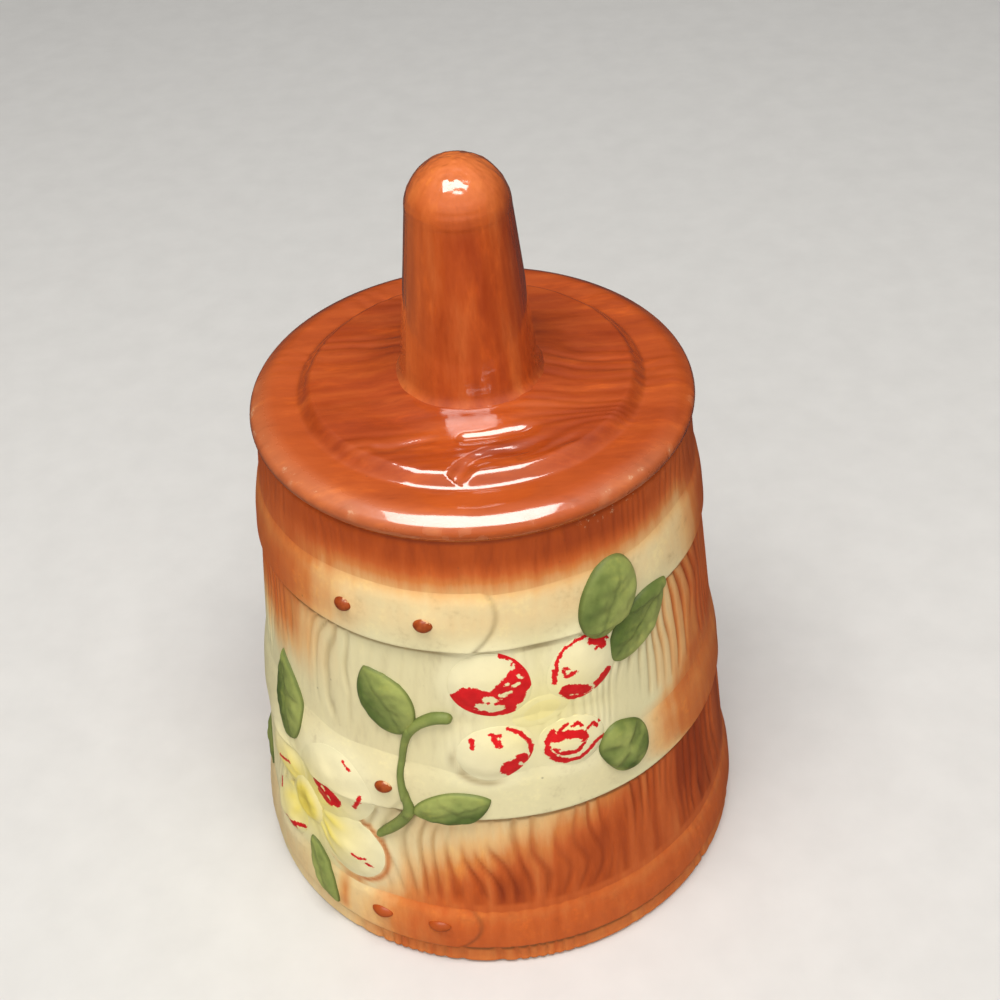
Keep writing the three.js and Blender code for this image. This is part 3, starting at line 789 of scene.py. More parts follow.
def smooth_route(points, count):
    """Evenly sampled Catmull-Rom curve through the given points."""
    p = np.array(points, float)
    p = np.concatenate([[2 * p[0] - p[1]], p, [2 * p[-1] - p[-2]]])
    u = np.linspace(0, len(p) - 3 - 1e-9, count)
    k = np.floor(u).astype(int)
    t = (u - k)[:, None]
    a, b, c, d = p[k], p[k + 1], p[k + 2], p[k + 3]
    return 0.5 * (2 * b + (c - a) * t + (2 * a - 5 * b + 4 * c - d) * t**2 + (3 * b - a - 3 * c + d) * t**3)


# Places across the front and up, with half the width there
STEM_ROUTE = [(-24.4, 94.2, 1.5), (-26.6, 88.0, 1.15), (-28.0, 81.0, 1.0), (-28.4, 75.6, 1.0),
              (-27.6, 68.4, 1.25), (-27.0, 63.4, 1.75), (-29.8, 57.8, 1.75), (-34.0, 53.0, 1.6),
              (-38.8, 48.4, 1.1)]
BRANCH_ROUTE = [(-11.9, 99.8, 1.7), (-16.8, 99.2, 1.8), (-21.0, 96.8, 1.6), (-24.0, 93.6, 1.4),
                (-26.2, 89.6, 1.1)]
STEM_SAMPLES = 90
BRANCH_SAMPLES = 50
STEM_SIDES = 20


def stem_tube(route, samples):
    """Points and faces of a soft cord of clay that lies on the jar, thick and thin as it was rolled."""
    path = smooth_route(route, samples)
    step = np.gradient(path[:, :2], axis=0)
    run = np.concatenate([[0.0], np.cumsum(np.hypot(*np.diff(path[:, :2], axis=0).T))])
    step = step / np.linalg.norm(step, axis=1)[:, None]
    beside = np.stack([-step[:, 1], step[:, 0]], -1)
    end = np.minimum(run, run[-1] - run)
    half = path[:, 2] * np.sqrt(np.clip(1 - (1 - np.clip(end / 1.7, 0, 1)) ** 2, 0.0004, 1))
    turn = full_turn(STEM_SIDES)
    across = path[:, 0:1] + beside[:, 0:1] * half[:, None] * np.cos(turn)
    z = path[:, 1:2] + beside[:, 1:2] * half[:, None] * np.cos(turn)
    a = np.degrees(across / wall_radius(z))
    lift = half[:, None] * np.where(np.sin(turn) > 0, 1.1, 1.6) * np.sin(turn) + 0.2
    points = on_jar(a, z, ground(a, z) + lift)
    faces = strip_faces(samples, STEM_SIDES)
    faces.append(list(range(STEM_SIDES))[::-1])
    faces.append([(samples - 1) * STEM_SIDES + j for j in range(STEM_SIDES)])
    return points.reshape(-1, 3), faces


def sprig_stem(glaze):
    """The front stem with its branch."""
    stem, stem_faces = stem_tube(STEM_ROUTE, STEM_SAMPLES)
    branch, branch_faces = stem_tube(BRANCH_ROUTE, BRANCH_SAMPLES)
    points = np.concatenate([stem, branch])
    faces = stem_faces + [[k + len(stem) for k in face] for face in branch_faces]
    turn = np.tile(full_turn(STEM_SIDES), len(points) // STEM_SIDES)
    # Painted shade along the cord's sides and underside
    marks = {"hollow": 0.6 * ramp(-np.sin(turn), -0.7, 0.1), "worn": 0.15, "shade": 0.34}
    piece = mesh_piece("sprig_stem_fired", points, faces, marks)
    finish_piece(piece, "sprig_stem", "jar", glaze)


def near_stroke(a, z, points, half):
    """How far inside a brush stroke through (angle, level) points a place is: half at its edge."""
    points = np.array(points, float)
    scale = np.array([np.radians(1.0) * wall_radius(points[:, 1].mean()), 1.0])
    place = np.stack([a, z], -1) * scale
    nearest = np.full(a.shape, 1e9)
    for start, end in zip(points[:-1] * scale, points[1:] * scale):
        run = end - start
        share = np.clip(((place - start) @ run) / (run @ run), 0, 1)
        gap = place - start - share[..., None] * run
        nearest = np.minimum(nearest, (gap * gap).sum(-1))
    return np.clip(0.5 + (half - np.sqrt(nearest)) / PAINT_FEATHER, 0, 1)


# What is left of the red paint on each petal: brush strokes, and bare strokes rubbed through them.
# Each stroke is a row of places, angle and level, and then half its width in millimetres. The places lie on
# the level of the petal's outline, so on its crown the paint is higher by a share of the rise.
PAINT_DROP = 0.7
PAINT_FEATHER = 2.2
PAINT = {
    "right_blossom_petal_1": (
        [
            ((-7.9, 105.6), (-6.0, 107.6), (-4.4, 107.2), 3.8),
            ((-8.2, 104.0), (-4.0, 101.6), (3.5, 102.6), 1.4),
            ((1.5, 104.0), (4.5, 106.4), (6.2, 110.4), 2.4),
            ((5.5, 105.8), (7.9, 111.4), (7.6, 116.6), 1.2),
            ((7.6, 116.6), (5.5, 120.4), (2.6, 122.0), 1.5),
            ((0.8, 109.0), (3.0, 111.4), (5.4, 115.0), 2.2), ((5.2, 117.6), (6.3, 114.6), 1.5),
            ((-2.6, 109.4), (-1.2, 108.6), 0.9),
        ],
        [
            ((-3.6, 104.8), (-1.0, 103.4), (1.0, 103.8), 1.2), ((-2.2, 107.0), (-0.6, 107.2), 0.8),
            ((1.2, 108.2), (3.6, 108.8), 0.5), ((4.2, 110.8), (5.6, 111.4), 0.5),
            ((2.4, 111.2), (3.2, 111.9), 0.45), ((5.8, 113.9), (6.5, 113.0), 0.5),
            ((4.5, 116.8), (5.0, 118.2), 0.4),
        ],
    ),
    "right_blossom_petal_2": (
        [
            ((14.6, 111.8), (15.0, 115.8), (17.0, 119.4), (20.0, 121.0), (23.2, 121.4), 0.55),
            ((24.2, 119.2), (25.8, 118.6), (26.6, 116.8), 1.5), ((26.6, 119.8), (28.2, 118.0), 0.7),
            ((24.6, 116.0), (25.6, 116.6), 0.6), ((14.0, 113.0), (14.0, 109.0), 0.65),
            ((16.2, 112.0), (16.8, 110.0), (19.0, 110.8), 0.6), ((16.4, 113.2), (17.6, 112.4), 0.4),
            ((16.6, 105.4), (19.0, 104.8), (21.5, 103.4), 1.8),
            ((15.4, 104.8), (17.4, 102.4), (21.0, 101.2), (25.0, 101.4), (28.0, 103.6), 0.7),
            ((24.0, 103.6), (25.8, 104.6), (27.4, 106.6), 1.5),
        ],
        [
            ((22.4, 105.0), (23.6, 103.2), 0.5),
        ],
    ),
    "right_blossom_petal_3": (
        [
            ((-6.1, 92.4), (-6.0, 89.8), 0.75), ((-1.6, 94.2), (0.4, 93.6), 0.6),
            ((-1.0, 92.8), (-0.4, 90.0), 0.75), ((0.3, 91.6), (0.5, 89.6), 0.5),
            ((2.4, 95.8), (5.0, 94.0), (7.0, 90.8), (7.6, 86.8), (6.9, 82.8), (4.8, 80.0), (2.0, 79.2),
             0.65),
            ((1.4, 81.4), (3.2, 83.4), (5.0, 84.6), 2.0), ((2.0, 80.6), (4.8, 81.6), 1.5),
        ],
        [
            ((2.4, 84.8), (3.4, 85.4), 0.4), ((4.6, 82.8), (5.4, 82.2), 0.45),
        ],
    ),
    "right_blossom_petal_4": (
        [
            ((12.6, 92.0), (11.2, 89.0), (11.1, 85.2), (12.6, 82.0), (15.4, 80.0), 0.9),
            ((15.4, 80.0), (18.6, 80.0), (21.0, 81.8), (23.2, 83.8), (25.6, 84.4), 0.75),
            ((13.2, 89.4), (15.6, 89.8), (18.8, 88.8), (19.8, 87.0), 1.5),
            ((12.8, 85.4), (14.6, 83.2), (18.0, 82.8), (19.6, 84.6), 0.75),
            ((14.0, 91.4), (16.2, 93.2), 0.6), ((17.2, 92.0), (18.8, 92.8), (19.6, 91.2), 0.55),
            ((21.0, 89.8), (22.8, 90.6), (23.6, 89.0), 0.6), ((24.4, 90.2), (25.2, 92.0), 0.6),
        ],
        [
            ((13.6, 86.6), (16.4, 87.4), (19.0, 86.2), 0.55),
            ((14.0, 84.4), (17.0, 84.8), (19.0, 85.2), 0.3),
        ],
    ),
    "left_blossom_petal_1": (
        [
            ((-47.0, 57.6), (-45.6, 56.2), 3.0), ((-45.0, 56.0), (-42.8, 54.4), 2.9),
            ((-47.4, 53.4), (-44.4, 52.0), 1.5), ((-33.8, 63.8), (-34.6, 60.0), (-36.8, 55.8), 0.6),
            ((-38.8, 73.8), (-36.6, 72.0), 0.35), ((-43.6, 60.6), (-42.8, 59.8), 0.3),
        ],
        [
            ((-46.2, 58.0), (-45.0, 56.2), 0.4), ((-44.4, 54.6), (-44.0, 52.8), 0.35),
        ],
    ),
    "left_blossom_petal_2": (
        [
            ((-37.4, 35.8), (-35.6, 35.4), (-34.2, 36.2), 0.6), ((-34.0, 34.2), (-32.6, 33.6), 0.5),
        ],
        [],
    ),
    "left_blossom_petal_3": (
        [
            ((-63.6, 51.6), (-59.4, 53.8), 0.55),
        ],
        [],
    ),
    "left_blossom_petal_4": (
        [
            ((-62.0, 26.4), (-59.6, 26.6), (-55.6, 30.0), 0.8), ((-61.4, 24.8), (-59.4, 26.2), 1.4),
            ((-68.0, 38.0), (-66.4, 35.0), 0.6),
        ],
        [],
    ),
}
PETAL_EDGE = {"right": 0.22, "left": 0.05}
PETAL_CROWN = {"right": 1.5, "left": 2.1}
PETAL_LUMPS = {"right": 0.2, "left": 0.45}
# Yellow on the petals: strength and reach. The left one's wide reach is partly painted light on the shaded
# lower flank of the upper petal
PETAL_YELLOW = {"right": (0.45, 14.5), "left": (1.0, 18.0)}
PETAL_RAYS = 15.0


def petal(node, seed, glaze):
    """A smooth egg-shaped petal, higher towards its outer end, with what is left of its red paint."""
    flower, _, length, width, _ = PETALS[node]
    centre_a, centre_z, _, along = petal_frame(node)
    red_strokes, bare_strokes = PAINT[node]
    heart = np.array([angle_of(*BLOSSOMS[flower]), BLOSSOMS[flower][1]])
    heart_off = np.array([np.radians(heart[0] - centre_a) * wall_radius(centre_z), heart[1] - centre_z])
    half = length / 2

    def ribs(du, dv):
        """Pressed rays that run from the heart of the left blossom over its petals."""
        if flower == "right":
            return 0.0 * du
        reach = np.hypot(du - heart_off[0], dv - heart_off[1])
        turn = np.arctan2(dv - heart_off[1], du - heart_off[0])
        strong = 1.0 if node == "left_blossom_petal_2" else 0.35
        ray = (0.5 + 0.5 * np.cos(turn * PETAL_RAYS + seed)) ** 1.6
        return strong * ray * ramp(reach, 6.0, 10.0) * fall(reach, 12.0, 21.0)

    def rise(x, y, t, du, dv):
        outward = 0.35 * y / half * (1 - t**4)
        lumps = PETAL_LUMPS[flower] * noise(x / 4.6 + seed, y / 4.6, 70 + seed) * (1 - t**6)
        crown = PETAL_CROWN[flower] * (1 - t * t) ** 1.3
        return PETAL_EDGE[flower] * steep(t, 6) + crown + outward + lumps + 0.42 * ribs(du, dv)

    def red(x, y, t, du, dv):
        a = centre_a + np.degrees(du / wall_radius(centre_z))
        z = centre_z + dv - PAINT_DROP * rise(x, y, t, du, dv)
        share = np.zeros_like(a)
        for *points, half_width in red_strokes:
            share = np.maximum(share, near_stroke(a, z, points, half_width))
        for *points, half_width in bare_strokes:
            share = np.minimum(share, 1 - near_stroke(a, z, points, half_width))
        return share

    def yellow(x, y, t, du, dv):
        reach = np.hypot(du - heart_off[0], dv - heart_off[1])
        weight, faded = PETAL_YELLOW[flower]
        return weight * spot(reach, 0.0, faded) + 0.32 * ribs(du, dv)

    marks = {
        "red": red,
        "yellow": yellow,
        "hollow": lambda x, y, t, du, dv: ramp(t, 0.6, 1.0),
    }
    outline = oval(length, width)
    outline[:, 0] *= 1 + 0.1 * outline[:, 1] / half
    pressed(node, glaze, (centre_a, centre_z), along, outline, rise, marks)


def blossom_heart(flower, glaze):
    """The heart of a blossom: a low oval cushion with a hollow along its middle and rays round it."""
    length, width, turn, height, strength = HEARTS[flower]
    across, up = BLOSSOMS[flower]
    lean = np.radians(turn)

    def dent(x, y):
        return np.exp(-((x / (0.26 * width)) ** 2) - (y / (0.32 * length)) ** 2)

    def rise(x, y, t, du, dv):
        rays = 0.04 * np.cos(9 * np.arctan2(y / length, x / width)) * ramp(t, 0.3, 0.6) * (1 - t**6)
        cushion = height * (0.2 * steep(t, 5) + 0.8 * (1 - t * t) ** 1.2)
        return cushion + strength * (rays - 0.5 * height * dent(x, y))

    marks = {
        # Painted shade in the dent along the middle
        "hollow": lambda x, y, t, du, dv: strength * dent(x, y),
        "worn": lambda x, y, t, du, dv: np.clip(ramp(t, 0.55, 1.0) + 0.95 * (1 - strength), 0, 1),
    }
    place = (angle_of(across, up), up)
    axis = (-np.sin(lean), np.cos(lean))
    node = flower + "_blossom_centre"
    pressed(node, glaze, place, axis, oval(length, width), rise, marks)


def rivet(node, glaze):
    """An oval rivet head on its mound, brown, with a painted highlight along its upper edge and painted shade
    along its lower edge.
    """
    name, across, up = RIVETS[node]
    length, width = RIVET_SIZES[name]
    painted_highlight, sprayed = RIVET_HIGHLIGHT_AND_SPRAY[name]

    def rise(x, y, t, du, dv):
        lean = 0.25 * (dv / width - 0.6 * du / length) * (1 - t**3)
        return RIVET_RISE * (0.6 * steep(t, 4) + 0.4 * (1 - t * t)) + lean

    marks = {
        # The worn mark here is a painted highlight along the upper edge, and the hollow mark painted shade
        # along the lower edge
        "worn": lambda x, y, t, du, dv: painted_highlight * ramp(dv / width + 0.6 * du / length + 0.2 * t, 0.36, 0.8),
        "sprayed": lambda x, y, t, du, dv: sprayed,
        "hollow": lambda x, y, t, du, dv: ramp(t, 0.6, 1.0) * ramp(-dv, 0.0, 1.2),
    }
    outline = oval(width, length, 1.8)
    pressed(node, glaze, (angle_of(across, up), up), (0.0, 1.0), outline, rise, marks)


# Lines carved in the lid's disc, seen from above: their places, how deep they cut, the width of the back
# slope that catches the light, where the cut has run out in front of it, and how much deeper it starts
CARVED_LINES = (
    ([(-7.6, -45.0), (-5.2, -42.0), (-3.0, -39.7), (2.3, -36.8), (10.4, -35.2), (15.5, -33.6),
      (22.0, -31.0)], 1.0, 2.4, 6.0, 1.1),
    ([(-28.0, -30.8), (-22.0, -31.8), (-15.0, -30.0), (-8.0, -29.0)], 0.55, 1.4, 3.5, 0.0),
    ([(-6.0, -29.8), (2.0, -29.6), (10.0, -28.2), (18.0, -26.8)], 1.0, 2.4, 5.0, 0.0),
    ([(9.0, -40.4), (15.0, -38.2), (22.0, -34.6), (29.0, -30.6)], 0.5, 1.3, 3.0, 0.0),
)


def carved_depth(x, y):
    """How deep the carved lines cut the disc."""
    depth = np.zeros_like(x)
    for points, drop, width, recover, mouth in CARVED_LINES:
        route = smooth_route(points, 90)
        run = np.gradient(route, axis=0)
        run = run / np.linalg.norm(run, axis=1)[:, None]
        nearest = np.full(x.shape, 1e9)
        side = np.zeros_like(x)
        along = np.zeros_like(x)
        for k, ((px, py), (tx, ty)) in enumerate(zip(route, run)):
            gap = (x - px) ** 2 + (y - py) ** 2
            closer = gap < nearest
            side = np.where(closer, (x - px) * ty - (y - py) * tx, side)
            along = np.where(closer, k / len(route), along)
            nearest = np.minimum(nearest, gap)
        opening = 0.02 if mouth else 0.14
        ends = ramp(along, 0.0, opening) * fall(along, 0.7, 0.98)
        ends = ends * (1 + mouth * fall(along, 0.0, 0.4))
        cut = ramp(side, -0.5 * width, 0.5 * width) * fall(side, 0.7 * width, recover)
        depth = np.maximum(depth, drop * cut * ends)
    return depth


def lid_grain(x, y):
    """Depth of the wood grain pressed into the lid's top, which runs from left to right."""
    flow = y / LID_GRAIN_SPACING + 1.5 * noise(x / 46.0 + 9.0, y / 15.0 + 5.0, 81)
    flow = flow + 0.5 * noise(x / 17.0, y / 7.0 + 2.0, 82)
    groove = (0.5 + 0.5 * np.cos(2 * np.pi * flow)) ** 2
    strength = np.clip(0.4 + 0.9 * noise(x / 30.0 + 3.0, y / 14.0 + 8.0, 83), 0.03, 1.0)
    front_roll = ramp(np.hypot(x, y), 46.0, 50.0) * ramp(-y, -10.0, 25.0)
    return groove * strength * (1 - 0.85 * front_roll)


def lid_roll():
    """Profile of the roll round the disc, from the lid's widest place inwards."""
    r = np.linspace(LID_ROLL_START, LID_ROLL_TURN[1], 60)
    slope = LID_ROLL_SLOPE * ramp(r, LID_ROLL_START, LID_ROLL_TURN[0])
    drop = np.concatenate([[0.0], np.cumsum((slope[1:] + slope[:-1]) / 2 * np.diff(r))])
    sloped = np.stack([r, LID_SHOULDER - drop], -1)[::3][::-1]
    lean = np.arctan(LID_ROLL_SLOPE)
    radius = (LID_RADIUS - LID_ROLL_TURN[1]) / (1 - np.sin(lean))
    turn = np.linspace(0.05, np.pi / 2 - lean - 0.05, 8)
    centre = sloped[0] - radius * np.array([np.sin(lean), np.cos(lean)])
    rounded = centre + radius * np.stack([np.cos(turn), np.sin(turn)], -1)
    return np.concatenate([rounded, sloped])


def lid_plate(glaze):
    """The round lid: a roll round the raised, grained disc, and a plain underside with the handle's bore."""
    a = columns_of(LID_COLUMNS)[None, :]
    under = [(HANDLE_BORE, LID_RECESS_LEVEL), (LID_RECESS_RADIUS - 3.0, LID_RECESS_LEVEL)]
    under += [(LID_RECESS_RADIUS, LID_LOW), (RING_OUTER, LID_LOW)]
    roll = lid_roll()
    edge_r, edge_z = roll[0]
    turn = np.radians(np.linspace(-90, -8, 7))
    low_edge = np.stack([edge_r - 2.4 * (1 - np.cos(turn)), edge_z + (edge_z - LID_LOW) * np.sin(turn)], -1)
    inward = np.concatenate([np.linspace(49.6, 43.0, 30), np.linspace(42.2, HANDLE_BORE, 44)])
    profile = np.concatenate([under, low_edge, roll, [(r, LID_SHOULDER) for r in inward]])
    order = np.arange(len(profile))
    first = len(profile) - len(inward)
    z, r = spread(profile, a)
    places = on_jar(a, z, r)
    x, y = places[..., 0], places[..., 1]
    top = (order >= first)[:, None] * np.ones_like(r)
    upper = (order >= len(under) + len(low_edge))[:, None] * np.ones_like(r)
    soft_rim = ramp(r, 60.5, 52.0) * (z > LID_SHOULDER - 4.0)
    depth = lid_grain(x, y)
    on_disc = fall(r, *LID_STEP)
    disc = (LID_TOP - LID_SHOULDER - carved_depth(x, y)) * on_disc
    rise_to_handle = 1.5 * fall(r, 20.0, 32.0)
    valley = -0.4 * spot(r, *LID_VALLEY)
    rippled = 0.06 * ring_noise(a, r, 40, 2.4, 89) * bell(r, 57.0, 3.6) * upper
    z = z + top * (disc + rise_to_handle) + upper * valley + rippled - soft_rim * LID_GRAIN_DEPTH * depth
    dents = 0.16 * noise(x / 12.0 + 4.0, y / 9.0 + 4.0, 84) + 0.05 * noise(x / 5.0, y / 2.6, 88)
    z = z + soft_rim * dents - 0.1 * soft_rim
    flakes = ring_noise(a, z, 90, 3.0, 85) + 0.5 * ring_noise(a, z, 210, 1.5, 86)
    above = z > LID_LOW + 0.6
    outer_edge = spot(r - LID_RADIUS, -0.9, 1.7) * above
    rubbed_left = spot(r - LID_RADIUS, -2.4, 3.4) * above * bell(a, -58.0, 44.0)
    rubbed_right = spot(r - LID_RADIUS, -2.0, 2.4) * above * bell(a, 42.0, 16.0)
    worn = 0.62 * rubbed_left + 0.5 * rubbed_right + outer_edge * (0.1 + 0.4 * ramp(flakes, 0.2, 0.7))
    right_share = 1 - 0.5 * ramp(a, 8.0, 50.0)
    back_share = 1 - 0.4 * ramp(np.abs(a), 90.0, 150.0)
    marks = {
        "hollow": np.clip(0.6 * depth * soft_rim, 0, 1),
        "worn": np.clip(worn, 0, 1),
        "roll": ramp(r, 45.5, 50.0) * right_share * back_share,
        "inside": (order < len(under))[:, None] * np.ones_like(r),
    }
    piece = turned_ring("lid_plate_fired", a, z, r, marks)
    finish_piece(piece, "lid_plate", "lid", glaze)


def lid_locating_ring(glaze):
    """The ring under the lid that keeps it in the mouth, with rounded lower edges."""
    a = columns_of(LID_COLUMNS // 2)[None, :]
    inner = RING_OUTER - RING_WALL
    low_round = arc_points(RING_OUTER - RING_ROUND, RING_LOW + RING_ROUND, RING_ROUND, -90, 0, 6)
    inner_round = arc_points(inner + RING_ROUND, RING_LOW + RING_ROUND, RING_ROUND, -180, -90, 6)
    levels = np.linspace(RING_LOW + 3.0, LID_LOW, 4)
    outside = [(RING_OUTER, level) for level in levels]
    inside = [(inner, level) for level in levels[::-1]]
    z, r = spread(np.array([*inner_round, *low_round, *outside, *inside]), a)
    r = r + 0.06 * ring_noise(a, z, 30, 4.0, 87)
    marks = {"hollow": 0.0, "worn": 0.3 * spot(z, RING_LOW, 1.2), "roll": 0.0, "inside": 1.0}
    piece = turned_ring("lid_locating_ring_fired", a, z, r, marks)
    finish_piece(piece, "lid_locating_ring", "lid", glaze)


def lid_handle(glaze):
    """The tall hollow handle: tapered, brushed upright, with a round crown and a filleted foot."""
    a = columns_of(HANDLE_COLUMNS)[None, :]
    turn_level = HANDLE_TOP - HANDLE_CROWN
    foot_level = LID_TOP
    hollow = arc_points(0.0, turn_level, HANDLE_CROWN - HANDLE_WALL, 90, 0, 9)
    taper = HANDLE_CROWN - HANDLE_WALL - HANDLE_BORE
    height = turn_level - foot_level
    shank = [(HANDLE_BORE + taper * k, foot_level + k * height) for k in (0.66, 0.33, 0.0)]
    flare = arc_points(HANDLE_FOOT + HANDLE_FILLET, foot_level + HANDLE_FILLET, HANDLE_FILLET, -90, -172, 10)
    start_r, start_z = flare[-1]
    side = [(start_r + (HANDLE_CROWN - start_r) * k, start_z + (turn_level - start_z) * k)
            for k in np.linspace(0.04, 0.98, 34)]
    crown = arc_points(0.0, turn_level, HANDLE_CROWN, 0, 90, 60)
    profile = np.array([*hollow, *shank, *flare, *side, *crown])
    outer = (np.arange(len(profile)) >= len(hollow) + len(shank))[:, None]
    z, r = spread(profile, a)
    r = np.maximum(r, 0.0)
    brushed = 0.09 * ring_noise(a, z, 34, 30.0, 91) + 0.05 * ring_noise(a, z, 80, 12.0, 92)
    turned_lines = 0.06 * ring_noise(a, z * 0.9, 6, 1.0, 93)
    turned_lines = turned_lines * ramp(z, turn_level - 4.0, turn_level + 4.0)
    brushed = brushed * fall(z, turn_level - 2.0, turn_level + 8.0)
    r = r + outer * (brushed + turned_lines - 0.16) * ramp(r, 0.5, 5.0)
    x, y = r * np.sin(np.radians(a)), r * np.cos(np.radians(a))
    crown_lumps = noise(x / 2.6, y / 1.9, 94) + 0.6 * noise(x / 1.2 + 5.0, y / 0.9, 95)
    z = z + outer * 0.13 * (crown_lumps - 1.4) * ramp(z, turn_level + 2.0, turn_level + 9.0)
    # Painted light and shade: the handle's right side darker through the hollow mark, which also darkens the
    # brush grooves, and its left side and crown lighter through the roll mark
    right_side = ramp(a, 20.0, 70.0) * fall(a, 120.0, 170.0)
    lit_left_side = ramp(-a, 20.0, 70.0) * fall(-a, 120.0, 170.0)
    marks = {
        "hollow": np.clip(-4.0 * brushed + right_side, 0, 1) * outer,
        "worn": 0.0 * r,
        "roll": np.maximum(0.7 * lit_left_side, ramp(z, turn_level - 4.0, HANDLE_TOP)),
        "inside": 1.0 - outer + 0.0 * r,
    }
    piece = turned_solid("lid_handle_fired", a, z, r, marks)
    finish_piece(piece, "lid_handle", "lid", glaze)


def srgb(code):
    """Linear colour of a hex code."""
    channels = np.array([int(code[k:k + 2], 16) for k in (1, 3, 5)]) / 255.0
    linear = np.where(channels <= 0.04045, channels / 12.92, ((channels + 0.055) / 1.055) ** 2.4)
    return (*[float(c) for c in linear], 1.0)


EVEN = (1.0, 1.0, 1.0)


class NodeBench:
    """Short calls that place and join nodes in one tree."""

    def __init__(self, tree):
        self.tree = tree

    def add(self, kind, sockets=None, **settings):
        """A new node with its settings, and with values or links in its sockets."""
        node = self.tree.nodes.new("ShaderNode" + kind)
        for name, value in settings.items():
            setattr(node, name, value)
        for name, value in (sockets or {}).items():
            self.join(value, node.inputs[name])
        return node

    def join(self, value, socket):
        """Links another node's output, or sets a plain value."""
        if isinstance(value, bpy.types.NodeSocket):
            self.tree.links.new(value, socket)
        else:
            socket.default_value = value

    def mark(self, name, share=None):
        """A value that the mesh keeps at each point, or a share of it."""
        value = self.add("Attribute", attribute_name=name).outputs["Fac"]
        return value if share is None else self.math("MULTIPLY", value, share)

    def stretched(self, stretch=EVEN):
        """Object coordinates, scaled so that noise draws out along the smaller factors."""
        place = self.add("TexCoord").outputs["Object"]
        mapping = self.add("Mapping", {"Vector": place})
        self.join(stretch, mapping.inputs["Scale"])
        return mapping.outputs["Vector"]

    def noise(self, vector, scale, detail=3.0, rough=0.55):
        """Noise from 0 to 1."""
        made = self.add("TexNoise", {"Vector": vector, "Scale": scale, "Detail": detail, "Roughness": rough})
        return made.outputs["Fac"]

    def ramp(self, value, low, high):
        """Smooth step from 0 at low to 1 at high."""
        ends = {"Value": value, "From Min": low, "From Max": high}
        return self.add("MapRange", ends, interpolation_type="SMOOTHSTEP").outputs["Result"]

    def math(self, operation, a, b):
        """One sum, difference or product."""
        made = self.add("Math", operation=operation)
        self.join(a, made.inputs[0])
        self.join(b, made.inputs[1])
        return made.outputs["Value"]

    def weighed(self, a, share_a, b, share_b):
        """Sum of two values, each times its share."""
        return self.math("ADD", self.math("MULTIPLY", a, share_a), self.math("MULTIPLY", b, share_b))

    def swing(self, value, size):
        """Noise about 0: what it is over or under a half, times a size."""
        return self.math("MULTIPLY", self.math("SUBTRACT", value, 0.5), size)

    def mix(self, share, a, b, blend="MIX"):
        """One colour over another."""
        made = self.add("Mix", data_type="RGBA", blend_type=blend)
        self.join(share, made.inputs[0])
        self.join(a, made.inputs[6])
        self.join(b, made.inputs[7])
        return made.outputs[2]

    def colours(self, value, stops):
        """A colour ramp through (place, hex code) stops."""
        made = self.add("ValToRGB", {"Fac": value})
        ramp_stops = made.color_ramp.elements
        while len(ramp_stops) < len(stops):
            ramp_stops.new(0.5)
        for stop, (place, code) in zip(ramp_stops, stops):
            stop.position = place
            stop.color = srgb(code)
        return made.outputs["Color"]


def node_group(name, inputs, outputs):
    """An empty shader group with named sockets, its bench, and its input and output nodes."""
    tree = bpy.data.node_groups.new(name, "ShaderNodeTree")
    kinds = {"value": "NodeSocketFloat", "colour": "NodeSocketColor", "vector": "NodeSocketVector"}
    for socket, kind in inputs.items():
        tree.interface.new_socket(socket, in_out="INPUT", socket_type=kinds[kind])
    for socket, kind in outputs.items():
        tree.interface.new_socket(socket, in_out="OUTPUT", socket_type=kinds[kind])
    source = tree.nodes.new("NodeGroupInput")
    sink = tree.nodes.new("NodeGroupOutput")
    return tree, NodeBench(tree), source.outputs, sink.inputs


def fired_skin_group():
    """Mottling, pinholes and orange peel of a fired glaze: a tinted colour, a roughness and a height."""
    tree, bench, source, sink = node_group(
        "fired_skin",
        {"Color": "colour", "Stretch": "vector", "Mottle": "value", "Gloss": "value", "Pinholes": "value"},
        {"Color": "colour", "Roughness": "value", "Height": "value"})
    drawn = bench.stretched(source["Stretch"])
    plain = bench.stretched()
    cloud = bench.noise(drawn, 120.0, 4.0)
    fine = bench.noise(drawn, 620.0, 3.0)
    swing = bench.swing(bench.weighed(cloud, 0.65, fine, 0.35), source["Mottle"])
    lighter = bench.mix(bench.ramp(swing, 0.0, 0.28), source["Color"], (1.0, 0.86, 0.62, 1.0), "SOFT_LIGHT")
    toned = bench.mix(bench.ramp(swing, 0.0, -0.42), lighter, (0.32, 0.2, 0.1, 1.0), "MULTIPLY")
    hole = bench.add("TexVoronoi", {"Vector": plain, "Scale": 210.0})
    rare = bench.ramp(bench.noise(plain, 60.0, 2.0), 0.56, 0.66)
    pit = bench.math("MULTIPLY", bench.ramp(hole.outputs["Distance"], 0.1, 0.04), rare)
    pit = bench.math("MULTIPLY", pit, source["Pinholes"])
    bench.join(bench.mix(pit, toned, (0.08, 0.05, 0.03, 1.0)), sink["Color"])
    rough = bench.math("ADD", source["Gloss"], bench.swing(fine, 0.16))
    bench.join(bench.math("ADD", rough, bench.math("MULTIPLY", pit, 0.3)), sink["Roughness"])
    peel = bench.weighed(bench.noise(plain, 420.0, 2.0), 0.7, fine, 0.3)
    bench.join(bench.math("SUBTRACT", peel, bench.math("MULTIPLY", pit, 0.6)), sink["Height"])
    return tree


